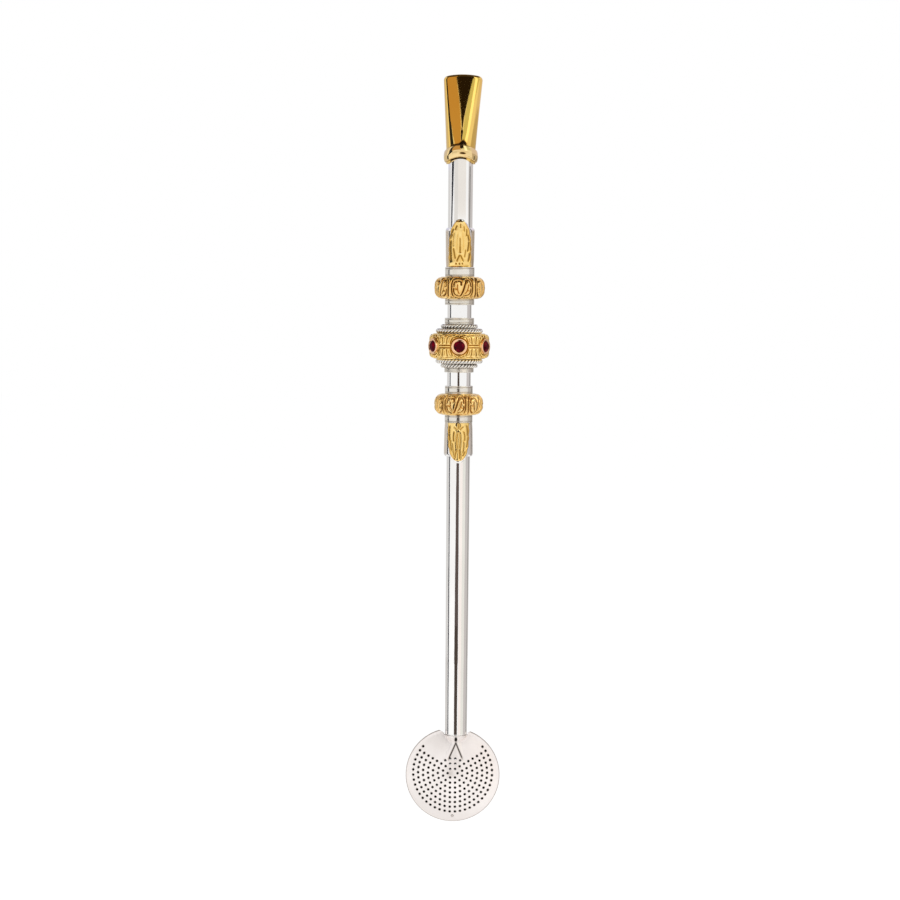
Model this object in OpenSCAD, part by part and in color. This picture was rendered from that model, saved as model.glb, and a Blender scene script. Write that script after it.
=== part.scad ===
// Bombilla: the metal straw of a mate cup, standing on the foot of its strainer.
// One tapering silver tube carries turned collars, two leaf sleeves, two gilt rings and a
// jewelled bead. A gilt mouthpiece is fixed on top, and the strainer pushes into the lower end.
// The tube runs along +Z, the front faces -Y, and z = 0 is the lowest point of the strainer.

/* [Stem] */
// Outside diameter of the tube at its lower end
stem_end_d = 7.35; // [6.9:0.05:7.8]
// Outside diameter of the tube at its upper end
stem_top_d = 8.25; // [8:0.05:8.5]
// Wall of the tube
stem_wall = 0.45; // [0.35:0.05:0.6]
// Bare tube from the lower end up to the lower leaf sleeve
lower_run = 91.5; // [60:0.1:130]
// Bare tube between the lower ring's collar and the bead's collar
lower_neck = 4.5; // [2:0.1:10]
// Bare tube between the bead's collar and the upper ring's collar
upper_neck = 4.3; // [2:0.1:10]
// Bare tube between the upper leaf sleeve and the mouthpiece
upper_run = 18.6; // [10:0.1:50]

/* [Leaf sleeves] */
// Height of the lower leaf sleeve
lower_sleeve_h = 13.4; // [11:0.1:18]
// Height of the upper leaf sleeve
upper_sleeve_h = 15.8; // [11:0.1:18]
// Diameter of a sleeve at its collar
sleeve_base_d = 9.3; // [9.1:0.05:9.8]
// Diameter of a sleeve where its leaves swell
sleeve_crown_d = 9.7; // [9.4:0.05:10.4]
// Length over which a sleeve's end rounds in to the tube
sleeve_crown_h = 3; // [2:0.1:5]
// Metal left at a sleeve's end, outside the tube
sleeve_edge = 0.2; // [0.15:0.05:0.4]
// Depth of the scallops between the upper leaves
upper_scallop_h = 2.8; // [0.5:0.1:12]
// Depth of the scallops between the lower leaves
lower_scallop_h = 2.1; // [0.5:0.1:11]
// Leaves around a sleeve
leaf_count = 2; // [2:1:3]
// Width of a leaf, seen from the front
leaf_w = 7.8; // [5:0.1:8.2]
// Silver border round a leaf
leaf_margin = 0.45; // [0.2:0.05:0.5]
// Height of a leaf above its sleeve
leaf_relief = 0.28; // [0.15:0.01:0.5]
// Lobes down each edge of a leaf
leaf_lobes = 5; // [3:1:8]
// Depth of the lobes, as a part of the leaf's half width
leaf_lobe_cut = 0.05; // [0:0.01:0.1]

/* [Collars] */
// Diameter of the collars of the bead and the upper ring
collar_d = 9.8; // [9:0.05:10.5]
// Diameter of the lower ring's collars
lower_collar_d = 9.3; // [8.8:0.05:10]
// Height of the collar over the upper ring
upper_ring_top_h = 3.2; // [1:0.1:5]
// Height of the collar under the upper ring
upper_ring_bottom_h = 2; // [1:0.1:5]
// Height of the collar over the bead
bead_top_h = 2.1; // [1:0.1:5]
// Height of the collar under the bead
bead_bottom_h = 1.5; // [1:0.1:5]
// Height of the collar over the lower ring
lower_ring_top_h = 2.6; // [1:0.1:5]
// Height of the collar under the lower ring
lower_ring_bottom_h = 2.6; // [1:0.1:5]
// Rounding of a collar's edges
collar_round = 0.3; // [0.1:0.05:0.45]

/* [Gilt rings] */
// Diameter of the upper ring
upper_ring_d = 17.1; // [14:0.1:19]
// Height of the upper ring
upper_ring_h = 7.3; // [5.5:0.1:9]
// Diameter of the lower ring
lower_ring_d = 16.5; // [14:0.1:19]
// Height of the lower ring
lower_ring_h = 7; // [5.5:0.1:9]
// Rounding of the rings' edges
ring_round = 2.7; // [1:0.1:2.7]

/* [Bead] */
// Diameter of the bead's gilt band
band_d = 20.2; // [18:0.1:24]
// Height of the band
band_h = 8.4; // [7.5:0.1:11]
// Rounding of the band's edges
band_round = 1.9; // [1:0.1:2.1]
// Wall of the hollow band
band_wall = 0.9; // [0.7:0.05:1]
// Outside diameter of the two large twisted-wire rings
rope_large_d = 15.7; // [14.8:0.1:16.2]
// Thickness of the large rings' twisted wire
rope_large_wire = 1.6; // [1.2:0.05:1.7]
// Turns of the twist round a large ring
rope_large_turns = 20; // [10:1:24]
// Outside diameter of the two small twisted-wire rings
rope_small_d = 12.4; // [12:0.1:13]
// Thickness of the small rings' twisted wire
rope_small_wire = 1.4; // [1:0.05:1.45]
// Turns of the twist round a small ring
rope_small_turns = 16; // [8:1:20]
// Stones round the band
stone_count = 6; // [3:1:8]
// Diameter of a stone
stone_d = 3.7; // [2.5:0.1:4.2]
// Height of a stone's girdle
stone_girdle_h = 1; // [0.6:0.1:1.2]
// Height of a stone's crown above its girdle
stone_crown_h = 0.55; // [0.3:0.05:0.8]
// Diameter of the flat table on a stone
stone_table_d = 2; // [1.2:0.1:2.3]
// Outside diameter of a stone's bezel
bezel_d = 5.4; // [4.8:0.1:5.8]
// Height of the bezels above the band
bezel_proud = 0.3; // [0.1:0.05:0.6]
// Length of a bezel's cup inside the band
bezel_tail = 0.5; // [0.3:0.05:0.8]

/* [Mouthpiece] */
// Height of the mouthpiece above its bead ring
mouth_h = 24.6; // [18:0.1:32]
// Diameter of the mouthpiece at its foot
mouth_base_d = 9.7; // [9.3:0.05:10.2]
// Width of the flattened tip
tip_w = 12.9; // [11:0.1:15]
// Thickness of the flattened tip
tip_t = 5.6; // [5:0.1:7]
// Rounding of the lips
tip_round = 1.2; // [0.6:0.1:1.2]
// Sideways set of the tip off the tube's axis, towards +X
tip_offset = 0.6; // [0:0.1:1.5]
// Width of the drinking slot in the tip
slot_w = 7.6; // [5:0.1:8]
// Height of the drinking slot in the tip
slot_t = 2.4; // [1.6:0.1:2.5]
// Depth of the straight mouth of the slot
slot_depth = 1; // [0.5:0.1:3]
// Length of tube inside the mouthpiece above the bead ring
mouth_grip = 1.2; // [0.5:0.1:3]
// Diameter of the bead ring at the mouthpiece's foot
mouth_ring_d = 11.4; // [10.8:0.1:13]
// Height of the bead ring
mouth_ring_h = 4.2; // [3.8:0.1:8]
// Flat edge of the bead ring at its top and bottom
mouth_ring_land = 0.15; // [0.15:0.05:0.4]
// Mouthpiece that shows below its bead ring
mouth_skirt = 0.5; // [0.2:0.1:1.5]

/* [Strainer] */
// Diameter of the strainer's disc
disc_d = 31.6; // [28:0.1:36]
// Sideways set of the disc off the tube's axis, towards -X
disc_offset = 1; // [0:0.1:1.5]
// Thickness over the two shells at their middle
disc_t = 5; // [4:0.1:6]
// Thickness of the shells' sheet
sheet_t = 0.45; // [0.35:0.05:0.6]
// Width of the flat rim where the shells are soldered
rim_w = 1; // [0.8:0.1:2]
// Depth to which the tube's end is let into the disc
stem_lap = 1.85; // [1.5:0.05:3]
// Upright wall of the notch beside the tube's end
notch_wall_h = 0.5; // [0.5:0.1:1.2]
// Slope of the notch above its wall, from upright
notch_angle = 60; // [20:1:65]
// Diameter of the holes
hole_d = 0.8; // [0.5:0.05:1]
// Step from one ring of holes to the next
hole_pitch = 1.66; // [1.5:0.02:2.5]
// Height of the rings' centre above the disc's centre
hole_rise = 0.9; // [0:0.1:1.5]
// Height by which the back shell's rings of holes stand below the front's
back_drop = 0.4; // [0:0.1:0.8]
// Plain sector below the tube, to each side of upright
plain_angle = 48; // [40:1:60]
// Innermost rings that run all the way round
whole_rings = 3; // [1:1:3]
// Round neck of the shells below the tube's end
neck_h = 0.7; // [0.5:0.1:2]
// Length over which the neck draws in to a point between the shells
neck_taper_h = 2.6; // [2:0.1:4]
// Diameter of the drawn-in end of the neck
neck_tip_d = 2.9; // [2.4:0.1:3]
// Length of the flat fan pressed into the shells below the neck
fan_h = 7.4; // [5:0.1:8]
// Diameter of the fan's rounded top
fan_top_d = 4.2; // [3.6:0.1:4.4]
// Width of the fan's lower end
fan_w = 11; // [8:0.1:12]
// Depth by which the fan's end sinks into the domes
fan_sink = 0.2; // [0.15:0.05:0.4]
// Length of the spigot inside the tube
spigot_h = 12; // [8:0.5:20]
// Ledge in the shells that the spigot's lower end stands on
spigot_ledge = 0.2; // [0.15:0.05:0.3]
// Wall of the spigot
spigot_wall = 0.3; // [0.2:0.05:0.5]
// Diameter of the rivet that closes the shells at the foot
rivet_d = 0.9; // [0.6:0.05:1]
// Height of the rivet above the foot
rivet_rise = 1.95; // [1.8:0.05:2]
// Height of the rivet's ends above the shells
rivet_proud = 0.12; // [0.05:0.01:0.3]

/* [Fits] */
// Solder seam between fixed pieces
seam = 0.03; // [0.02:0.01:0.05]
// Running clearance of the spigot in the tube, on the radius
push_gap = 0.05; // [0.03:0.01:0.08]
// Open line between the tube's end and the strainer
seat_gap = 0.3; // [0.2:0.05:0.5]

/* [Hidden] */
$fn = 96;
hull_fn = 32;
arc_step = 15;
thin = 0.01;
loft_step = 0.08;
silver = "gainsboro";
satin_silver = "mistyrose";
gilt = "goldenrod";
garnet = "firebrick";

// Heights of the pieces, each seated on the one below
stem_end_z = disc_d - stem_lap;
lower_sleeve_z = stem_end_z + lower_run;
lower_ring_bottom_z = lower_sleeve_z + lower_sleeve_h + seam;
lower_ring_z = lower_ring_bottom_z + lower_ring_bottom_h + seam;
lower_ring_top_z = lower_ring_z + lower_ring_h + seam;
bead_bottom_z = lower_ring_top_z + lower_ring_top_h + lower_neck;
rope_stack_h = rope_large_wire + rope_small_wire + 3 * seam;
band_z = bead_bottom_z + bead_bottom_h + rope_stack_h;
band_mid_z = band_z + band_h / 2;
bead_top_z = band_z + band_h + rope_stack_h;
upper_ring_bottom_z = bead_top_z + bead_top_h + upper_neck;
upper_ring_z = upper_ring_bottom_z + upper_ring_bottom_h + seam;
upper_ring_top_z = upper_ring_z + upper_ring_h + seam;
upper_sleeve_z = upper_ring_top_z + upper_ring_top_h + seam;
mouth_foot_z = upper_sleeve_z + upper_sleeve_h + upper_run;
mouth_ring_z = mouth_foot_z + mouth_skirt;
mouth_z = mouth_ring_z + mouth_ring_h;
tip_z = mouth_z + mouth_h;
stem_top_z = mouth_z + mouth_grip;
stem_h = stem_top_z - stem_end_z;

// Bead
rope_large_r = (rope_large_d - rope_large_wire) / 2;
rope_small_r = (rope_small_d - rope_small_wire) / 2;
cap_r = rope_large_r;
bezel_r = band_d / 2 + bezel_proud;
stone_seat_r = bezel_r - stone_girdle_h;

// Strainer
bore_d = stem_end_d - 2 * stem_wall;
spigot_d = bore_d - 2 * push_gap;
neck_bore_d = spigot_d + 2 * seam;
neck_d = neck_bore_d + 2 * sheet_t;
neck_top_z = stem_end_z - seat_gap;
neck_low_z = neck_top_z - neck_h;
neck_tip_z = neck_low_z - neck_taper_h;
fan_top_z = neck_tip_z + (neck_low_z - neck_tip_z) * (fan_top_d - neck_tip_d) / (neck_d - neck_tip_d);
fan_z = fan_top_z - fan_h;
fan_t = disc_t - 2 * fan_sink;
disc_z = disc_d / 2;
dome_r = disc_d / 2 - rim_w;
dome_rise = disc_t / 2 - sheet_t;
dome_sphere_r = (dome_r ^ 2 + dome_rise ^ 2) / (2 * dome_rise);
dome_back = dome_sphere_r - disc_t / 2;
hole_rings = floor((dome_r - hole_d) / hole_pitch);
holes_per_step = 6;
rivet_h = 2 * (sqrt(dome_sphere_r ^ 2 - (disc_z - rivet_rise) ^ 2) - dome_back + rivet_proud);

function arc(x, y, r, a0, a1) =
    [for (i = [0 : floor(abs(a1 - a0) / arc_step)])
        let (a = a0 + sign(a1 - a0) * i * arc_step) [x + r * cos(a), y + r * sin(a)]];

// Half of a rounded block, turned about the axis
function turned_outline(r, h, round) = concat(
    [[0, 0]],
    arc(r - round, round, round, -90, 0),
    arc(r - round, h - round, round, 0, 90),
    [[0, h]]);

// The tapering outside of the tube, grown by a clearance
module stem_form(extra = 0) {
    translate([0, 0, stem_end_z])
        cylinder(h = stem_h + extra, d1 = stem_end_d + 2 * extra, d2 = stem_top_d + 2 * extra);
}

// A turned piece threaded on the tube
module threaded(z, d, h, round) {
    difference() {
        translate([0, 0, z]) rotate_extrude() polygon(turned_outline(d / 2, h, round));
        stem_form(seam);
    }
}

module stem_tube() {
    color(silver) difference() {
        stem_form();
        translate([0, 0, stem_end_z - thin]) cylinder(h = spigot_h + 1, d = bore_d);
        translate([0, 0, stem_end_z + spigot_h])
            cylinder(h = stem_h - spigot_h + thin, d1 = bore_d, d2 = stem_top_d - 2 * stem_wall);
    }
}

// Leaf sleeves: base at z = 0 and leaf tips up
function sleeve_outline(h, grow) =
    let (tip_r = stem_top_d / 2 + sleeve_edge + grow, crown_r = sleeve_crown_d / 2 + grow)
    concat(
        [[0, 0], [sleeve_base_d / 2 + grow, 0]],
        [for (a = [0 : arc_step : 90])
            [tip_r + (crown_r - tip_r) * cos(a), h - sleeve_crown_h * (1 - sin(a)) + grow * sin(a)]],
        [[0, h + grow]]);

function leaf_half(t, half_w, lobe) =
    half_w * (1 - t ^ 4) ^ 0.45 * (1 - lobe * (1 + cos(360 * leaf_lobes * t + 180)) / 2);

// A pointed arch, with lobes down its edges
module leaf_flat(h, half_w, lobe) {
    steps = 32;
    side = [for (i = [0 : steps]) let (t = i / steps) [leaf_half(t, half_w, lobe), t * h]];
    mirrored = [for (i = [steps - 1 : -1 : 0]) [-side[i][0], side[i][1]]];
    polygon(concat(side, mirrored));
}

module leaf_cutters(h, half_w, lobe) {
    for (i = [0 : leaf_count - 1])
        rotate([0, 0, 360 * i / leaf_count])
            rotate([90, 0, 0])
                linear_extrude(sleeve_crown_d) leaf_flat(h, half_w, lobe);
}

module sleeve_blank(h, scallop_h) {
    intersection() {
        rotate_extrude() polygon(sleeve_outline(h, 0));
        union() {
            cylinder(h = h - scallop_h, d = 2 * sleeve_crown_d);
            leaf_cutters(h, leaf_w / 2 + leaf_margin, 0);
        }
    }
}

module leaves_blank(h) {
    intersection() {
        difference() {
            rotate_extrude() polygon(sleeve_outline(h, leaf_relief));
            rotate_extrude() polygon(sleeve_outline(h, seam));
        }
        leaf_cutters(h - leaf_margin, leaf_w / 2, leaf_lobe_cut);
    }
}

module place_upper() {
    translate([0, 0, upper_sleeve_z]) children();
}

module place_lower() {
    translate([0, 0, lower_sleeve_z + lower_sleeve_h]) mirror([0, 0, 1]) children();
}

module upper_leaf_sleeve() {
    color(silver) difference() {
        place_upper() sleeve_blank(upper_sleeve_h, upper_scallop_h);
        stem_form(seam);
    }
}

module lower_leaf_sleeve() {
    color(silver) difference() {
        place_lower() sleeve_blank(lower_sleeve_h, lower_scallop_h);
        stem_form(seam);
    }
}

module upper_leaves() {
    color(gilt) place_upper() leaves_blank(upper_sleeve_h);
}

module lower_leaves() {
    color(gilt) place_lower() leaves_blank(lower_sleeve_h);
}

module upper_ring_top_collar() {
    color(silver) threaded(upper_ring_top_z, collar_d, upper_ring_top_h, collar_round);
}

module upper_ring() {
    color(gilt) threaded(upper_ring_z, upper_ring_d, upper_ring_h, ring_round);
}

module upper_ring_bottom_collar() {
    color(silver) threaded(upper_ring_bottom_z, collar_d, upper_ring_bottom_h, collar_round);
}

module bead_top_collar() {
    color(silver) threaded(bead_top_z, collar_d, bead_top_h, collar_round);
}

module bead_bottom_collar() {
    color(silver) threaded(bead_bottom_z, collar_d, bead_bottom_h, collar_round);
}

module lower_ring_top_collar() {
    color(silver) threaded(lower_ring_top_z, lower_collar_d, lower_ring_top_h, collar_round);
}

module lower_ring() {
    color(gilt) threaded(lower_ring_z, lower_ring_d, lower_ring_h, ring_round);
}

module lower_ring_bottom_collar() {
    color(silver) threaded(lower_ring_bottom_z, lower_collar_d, lower_ring_bottom_h, collar_round);
}

// Two wires twisted together and closed to a ring: a two-lobed section turns as it goes round
module rope_ring(r, wire, turns) {
    sides = 6;
    steps = 8 * turns;
    points = [for (i = [0 : steps - 1]) for (j = [0 : sides - 1])
        let (
            round = 360 * i / steps,
            lobe = 360 * j / sides,
            s = wire / 2 * (0.78 + 0.22 * cos(2 * lobe)),
            twist = lobe + turns * round,
            out = r + s * cos(twist)
        ) [out * cos(round), out * sin(round), s * sin(twist)]];
    faces = [for (i = [0 : steps - 1]) for (j = [0 : sides - 1])
        let (
            near = i * sides,
            far = (i + 1) % steps * sides,
            next = (j + 1) % sides
        ) each [[near + j, near + next, far + next], [near + j, far + next, far + j]]];
    polyhedron(points, faces);
}

// The large ring lies on the band and its cap, the small one on the cap's step
module large_rope(side) {
    color(silver)
        translate([0, 0, band_mid_z + side * (band_h / 2 + seam + rope_large_wire / 2)])
            rope_ring(rope_large_r, rope_large_wire, rope_large_turns);
}

module small_rope(side) {
    height = band_h / 2 + rope_large_wire + 2 * seam + rope_small_wire / 2;
    color(silver)
        translate([0, 0, band_mid_z + side * height])
            rope_ring(rope_small_r, rope_small_wire, rope_small_turns);
}

module bead_top_large_rope() { large_rope(1); }
module bead_top_small_rope() { small_rope(1); }
module bead_bottom_large_rope() { large_rope(-1); }
module bead_bottom_small_rope() { small_rope(-1); }

// A stepped disc closes each end of the hollow band
module bead_cap(side) {
    step_r = rope_large_r - rope_large_wire / 2 - seam;
    hub_r = rope_small_r - rope_small_wire / 2 - seam;
    step_top = band_wall + rope_large_wire + seam;
    color(silver) difference() {
        translate([0, 0, band_mid_z]) mirror([0, 0, side < 0 ? 1 : 0])
            translate([0, 0, band_h / 2 - band_wall]) {
                cylinder(h = band_wall, r = cap_r);
                cylinder(h = step_top, r = step_r);
                cylinder(h = step_top + rope_small_wire + seam, r = hub_r);
            }
        stem_form(seam);
    }
}

module bead_top_cap() { bead_cap(1); }
module bead_bottom_cap() { bead_cap(-1); }

module around_band() {
    for (i = [0 : stone_count - 1])
        translate([0, 0, band_mid_z]) rotate([0, 0, 360 * i / stone_count])
            rotate([90, 0, 0]) children();
}

module bead_band() {
    r = band_d / 2;
    inner_round = band_round - band_wall;
    lip_r = cap_r + seam;
    section = concat(
        [[lip_r, 0]],
        arc(r - band_round, band_round, band_round, -90, 0),
        arc(r - band_round, band_h - band_round, band_round, 0, 90),
        [[lip_r, band_h], [lip_r, band_h - band_wall]],
        arc(r - band_round, band_h - band_round, inner_round, 90, 0),
        arc(r - band_round, band_round, inner_round, 0, -90),
        [[lip_r, band_wall]]);
    color(gilt) difference() {
        translate([0, 0, band_z]) rotate_extrude() polygon(section);
        around_band() cylinder(h = band_d, d = bezel_d + 2 * seam);
    }
}

module bezels() {
    foot_r = band_d / 2 - band_wall - bezel_tail;
    color(gilt) around_band() difference() {
        translate([0, 0, foot_r]) cylinder(h = bezel_r - foot_r, d = bezel_d);
        translate([0, 0, stone_seat_r - seam]) cylinder(h = band_d, d = stone_d + 2 * seam);
    }
}

module stones() {
    color(garnet) around_band() translate([0, 0, stone_seat_r]) {
        cylinder(h = stone_girdle_h, d = stone_d);
        translate([0, 0, stone_girdle_h])
            cylinder(h = stone_crown_h, d1 = stone_d, d2 = stone_table_d);
    }
}

// The round foot flares into a flattened tip with rounded lips
module mouth_loft() {
    hull() {
        translate([0, 0, mouth_z - mouth_ring_land])
            cylinder(h = mouth_ring_land, d = mouth_base_d - 2 * loft_step, $fn = hull_fn);
        for (side = [-1, 1]) for (a = [0 : 30 : 90])
            translate([tip_offset + side * (tip_w - tip_t) / 2, 0, tip_z - tip_round * (1 - sin(a)) - thin])
                cylinder(h = thin, d = tip_t - 2 * tip_round * (1 - cos(a)), $fn = hull_fn);
    }
}

module mouth_way() {
    hull() {
        translate([0, 0, stem_top_z - thin])
            cylinder(h = 2 * thin, d = stem_top_d - 2 * stem_wall, $fn = hull_fn);
        for (side = [-1, 1])
            translate([tip_offset + side * (slot_w - slot_t) / 2, 0, tip_z - slot_depth])
                cylinder(h = 2 * slot_depth, d = slot_t, $fn = hull_fn);
    }
}

module mouthpiece() {
    color(gilt) difference() {
        union() {
            translate([0, 0, mouth_foot_z])
                cylinder(h = mouth_ring_h + mouth_skirt, d = mouth_base_d);
            mouth_loft();
        }
        stem_form(seam);
        mouth_way();
    }
}

module mouthpiece_ring() {
    bore_r = mouth_base_d / 2 + seam;
    land_r = bore_r + mouth_ring_land;
    bulge = mouth_ring_d / 2 - land_r;
    section = concat(
        [[bore_r, 0]],
        [for (a = [-90 : arc_step : 90])
            [land_r + bulge * cos(a), mouth_ring_h / 2 * (1 + sin(a))]],
        [[bore_r, mouth_ring_h]]);
    color(gilt) translate([0, 0, mouth_ring_z]) rotate_extrude() polygon(section);
}

// Strainer: everything about the disc's own axis, which runs along Y
module at_disc() {
    translate([-disc_offset, 0, disc_z]) rotate([90, 0, 0]) children();
}

// Two spherical domes back to back, drawn in by the sheet's thickness for the inside
module lens(inset) {
    intersection() {
        at_disc() translate([0, 0, dome_back]) sphere(r = dome_sphere_r - inset);
        at_disc() translate([0, 0, -dome_back]) sphere(r = dome_sphere_r - inset);
        at_disc() cylinder(h = 2 * disc_t, r = dome_r + rim_w / 2, center = true);
    }
}

// The neck draws in to a point that sinks into the domes
module neck_taper(top_d, inset) {
    translate([0, 0, neck_tip_z])
        cylinder(h = neck_taper_h, d1 = neck_tip_d - 2 * inset, d2 = top_d);
}

// Below the neck a flat fan widens from the neck's point and sinks into the domes
module fan(inset) {
    end_t = fan_t - 2 * inset;
    end_w = fan_w - 2 * inset;
    hull() {
        translate([0, 0, fan_top_z])
            cylinder(h = thin, d = fan_top_d - 2 * inset - 2 * loft_step, $fn = hull_fn);
        for (side = [-1, 1])
            translate([-disc_offset + side * (end_w - end_t) / 2, 0, fan_z])
                cylinder(h = thin, d = end_t, $fn = hull_fn);
    }
}

module shells_outside() {
    lens(0);
    at_disc() cylinder(h = 2 * sheet_t, d = disc_d, center = true);
    fan(0);
    neck_taper(neck_d - 2 * loft_step, 0);
    translate([0, 0, neck_low_z]) cylinder(h = neck_h, d = neck_d);
}

module shells_inside() {
    lens(sheet_t);
    fan(sheet_t);
    neck_taper(neck_bore_d - 2 * spigot_ledge, sheet_t);
    translate([0, 0, neck_low_z]) cylinder(h = neck_h + 1, d = neck_bore_d);
}

// The notch that lets the tube's end into the disc
module tube_notch() {
    low = stem_end_d / 2 + seat_gap;
    rise = disc_d - neck_top_z + 1;
    wide = low + (rise - notch_wall_h) * tan(notch_angle);
    translate([0, disc_t, neck_top_z]) rotate([90, 0, 0])
        linear_extrude(2 * disc_t)
            polygon([[-low, 0], [low, 0], [low, notch_wall_h], [wide, rise], [-wide, rise], [-low, notch_wall_h]]);
}

// Rings of holes, with a plain sector below the tube outside the innermost rings
function hole_kept(ring, a, rise) =
    let (turn = min(a, 360 - a), r = ring * hole_pitch)
    (ring <= whole_rings || turn > plain_angle)
    && norm([r * sin(a), r * cos(a) + rise]) + hole_d / 2 < dome_r - hole_d / 4;

// The shift draws every ring in by a share of the step between rings
module hole_field(shift, rise) {
    at_disc() linear_extrude(disc_t)
        for (step = [1 : hole_rings])
            let (ring = step - shift, count = ring * holes_per_step, r = ring * hole_pitch)
                for (i = [0 : count - 1])
                    let (a = (i + 0.5) * 360 / count)
                        if (hole_kept(ring, a, rise))
                            translate([r * sin(a), r * cos(a) + rise]) circle(d = hole_d, $fn = 24);
}

module rivet(d, h) {
    translate([-disc_offset, 0, rivet_rise]) rotate([90, 0, 0])
        cylinder(h = h, d = d, center = true, $fn = 48);
}

// One pressed shell, on the front; the back is its mirror image, with its rings of holes between the front's
module strainer_shell(hole_shift, rise) {
    intersection() {
        difference() {
            shells_outside();
            shells_inside();
            tube_notch();
            hole_field(hole_shift, rise);
            rivet(rivet_d + 2 * seam, 2 * disc_t);
        }
        translate([-disc_d, -disc_d - seam / 2, -disc_d]) cube([2 * disc_d, disc_d, 3 * disc_d]);
    }
}

module strainer_front() {
    color(satin_silver) strainer_shell(0, hole_rise);
}

module strainer_back() {
    color(satin_silver) mirror([0, 1, 0]) strainer_shell(0.5, hole_rise - back_drop);
}

module strainer_spigot() {
    low = neck_low_z + seam;
    high = stem_end_z + spigot_h;
    color(silver) difference() {
        translate([0, 0, low]) cylinder(h = high - low, d = spigot_d);
        translate([0, 0, low - 1]) cylinder(h = high - low + 2, d = spigot_d - 2 * spigot_wall);
    }
}

module strainer_rivet() {
    color(silver) rivet(rivet_d, rivet_h);
}

mouthpiece();
mouthpiece_ring();
stem_tube();
upper_leaf_sleeve();
upper_leaves();
upper_ring_top_collar();
upper_ring();
upper_ring_bottom_collar();
bead_top_collar();
bead_top_small_rope();
bead_top_large_rope();
bead_top_cap();
bead_band();
bezels();
stones();
bead_bottom_cap();
bead_bottom_large_rope();
bead_bottom_small_rope();
bead_bottom_collar();
lower_ring_top_collar();
lower_ring();
lower_ring_bottom_collar();
lower_leaf_sleeve();
lower_leaves();
strainer_front();
strainer_back();
strainer_spigot();
strainer_rivet();
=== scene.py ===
# Bombilla: a silver straw with a gilt mouthpiece, engraved rings, a jewelled bead and a strainer.
# Shapes are worked out in millimetres from the frame's own solids and put into meshes in metres.
import math

import bmesh
import bpy
import numpy as np
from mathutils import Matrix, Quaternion, Vector


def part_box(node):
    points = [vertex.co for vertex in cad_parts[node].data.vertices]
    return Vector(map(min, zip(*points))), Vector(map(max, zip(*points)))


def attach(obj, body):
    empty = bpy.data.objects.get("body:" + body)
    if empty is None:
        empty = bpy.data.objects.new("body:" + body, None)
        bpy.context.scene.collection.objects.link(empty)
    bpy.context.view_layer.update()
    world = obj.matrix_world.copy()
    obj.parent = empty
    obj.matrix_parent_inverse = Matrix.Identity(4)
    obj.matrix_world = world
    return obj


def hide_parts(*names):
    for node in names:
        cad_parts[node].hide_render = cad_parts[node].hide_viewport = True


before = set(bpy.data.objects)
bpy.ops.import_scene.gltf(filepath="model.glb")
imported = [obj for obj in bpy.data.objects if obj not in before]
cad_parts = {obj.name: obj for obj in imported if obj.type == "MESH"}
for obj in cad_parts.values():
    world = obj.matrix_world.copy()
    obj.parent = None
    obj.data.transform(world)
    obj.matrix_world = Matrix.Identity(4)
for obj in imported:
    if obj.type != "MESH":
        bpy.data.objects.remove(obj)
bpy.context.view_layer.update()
mm = 0.001
fullTurn = 2 * np.pi
quarter = np.pi / 2
print("frame loaded:", len(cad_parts), "nodes")


def linked(name, data):
    thing = bpy.data.objects.new(name, data)
    bpy.context.scene.collection.objects.link(thing)
    return thing


# camera: straight from the front and a little above, turned a touch so that the straw leans as it should
shot = {
    "distance": 0.9, "elevation": 3.5, "aimX": -2.78, "aimZ": 125.4, "frameMm": 301.2, "roll": 0.48,
    "sensor": 36,
}


def setCamera():
    data = bpy.data.cameras.new("photoCamera")
    data.sensor_width = shot["sensor"]
    data.lens = shot["sensor"] * shot["distance"] / (shot["frameMm"] * mm)
    camera = linked("photoCamera", data)
    lift = math.radians(shot["elevation"])
    back = Vector((0, -math.cos(lift), math.sin(lift)))
    aim = Vector((shot["aimX"] * mm, 0, shot["aimZ"] * mm))
    camera.location = aim + back * shot["distance"]
    camera.rotation_mode = "QUATERNION"
    level = (-back).to_track_quat("-Z", "Y")
    camera.rotation_quaternion = level @ Quaternion((0, 0, 1), math.radians(shot["roll"]))
    bpy.context.scene.camera = camera


setCamera()
bpy.context.scene.view_settings.view_transform = "Standard"
print("camera set")


# the frame's solids, read as arrays in millimetres
def readAll(items, key, wide=3, kind=np.float32):
    # a row of numbers for each vertex, corner or face of a mesh
    flat = np.empty(wide * len(items), kind)
    items.foreach_get(key, flat)
    return flat.reshape(-1, wide)


def solidPoints(node):
    return readAll(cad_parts[node].data.vertices, "co").astype(float) / mm


def solidReach(node):
    # distance from the axis, and height, of each point of a solid
    x, y, z = solidPoints(node).T
    return np.hypot(x, y), z


def turnedSize(node):
    # outer radius, foot and top of a turned solid
    low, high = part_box(node)
    return (high.y - low.y) / 2 / mm, low.z / mm, high.z / mm


sameLevel = 0.01  # how near two heights or radii are to count as one
seam = 0.03  # gap between the tube and what is soldered on it
boreRound = 0.05  # rounding of a bore's edges
stemReach, stemHeight = solidReach("stem_tube")
stemFoot, stemTop = stemHeight.min(), stemHeight.max()
stemEnd = stemReach[stemHeight < stemFoot + sameLevel]
stemFootR, stemBoreR = stemEnd.max(), stemEnd.min()
stemTopR = stemReach[stemHeight > stemTop - sameLevel].max()
stemWall = stemFootR - stemBoreR


def stemR(z):
    return stemFootR + (stemTopR - stemFootR) * (z - stemFoot) / (stemTop - stemFoot)


# meshes from whole arrays
meshWork = {"weldGap": 2e-7, "thinGap": 1e-8, "sharpAngle": 40}


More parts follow.
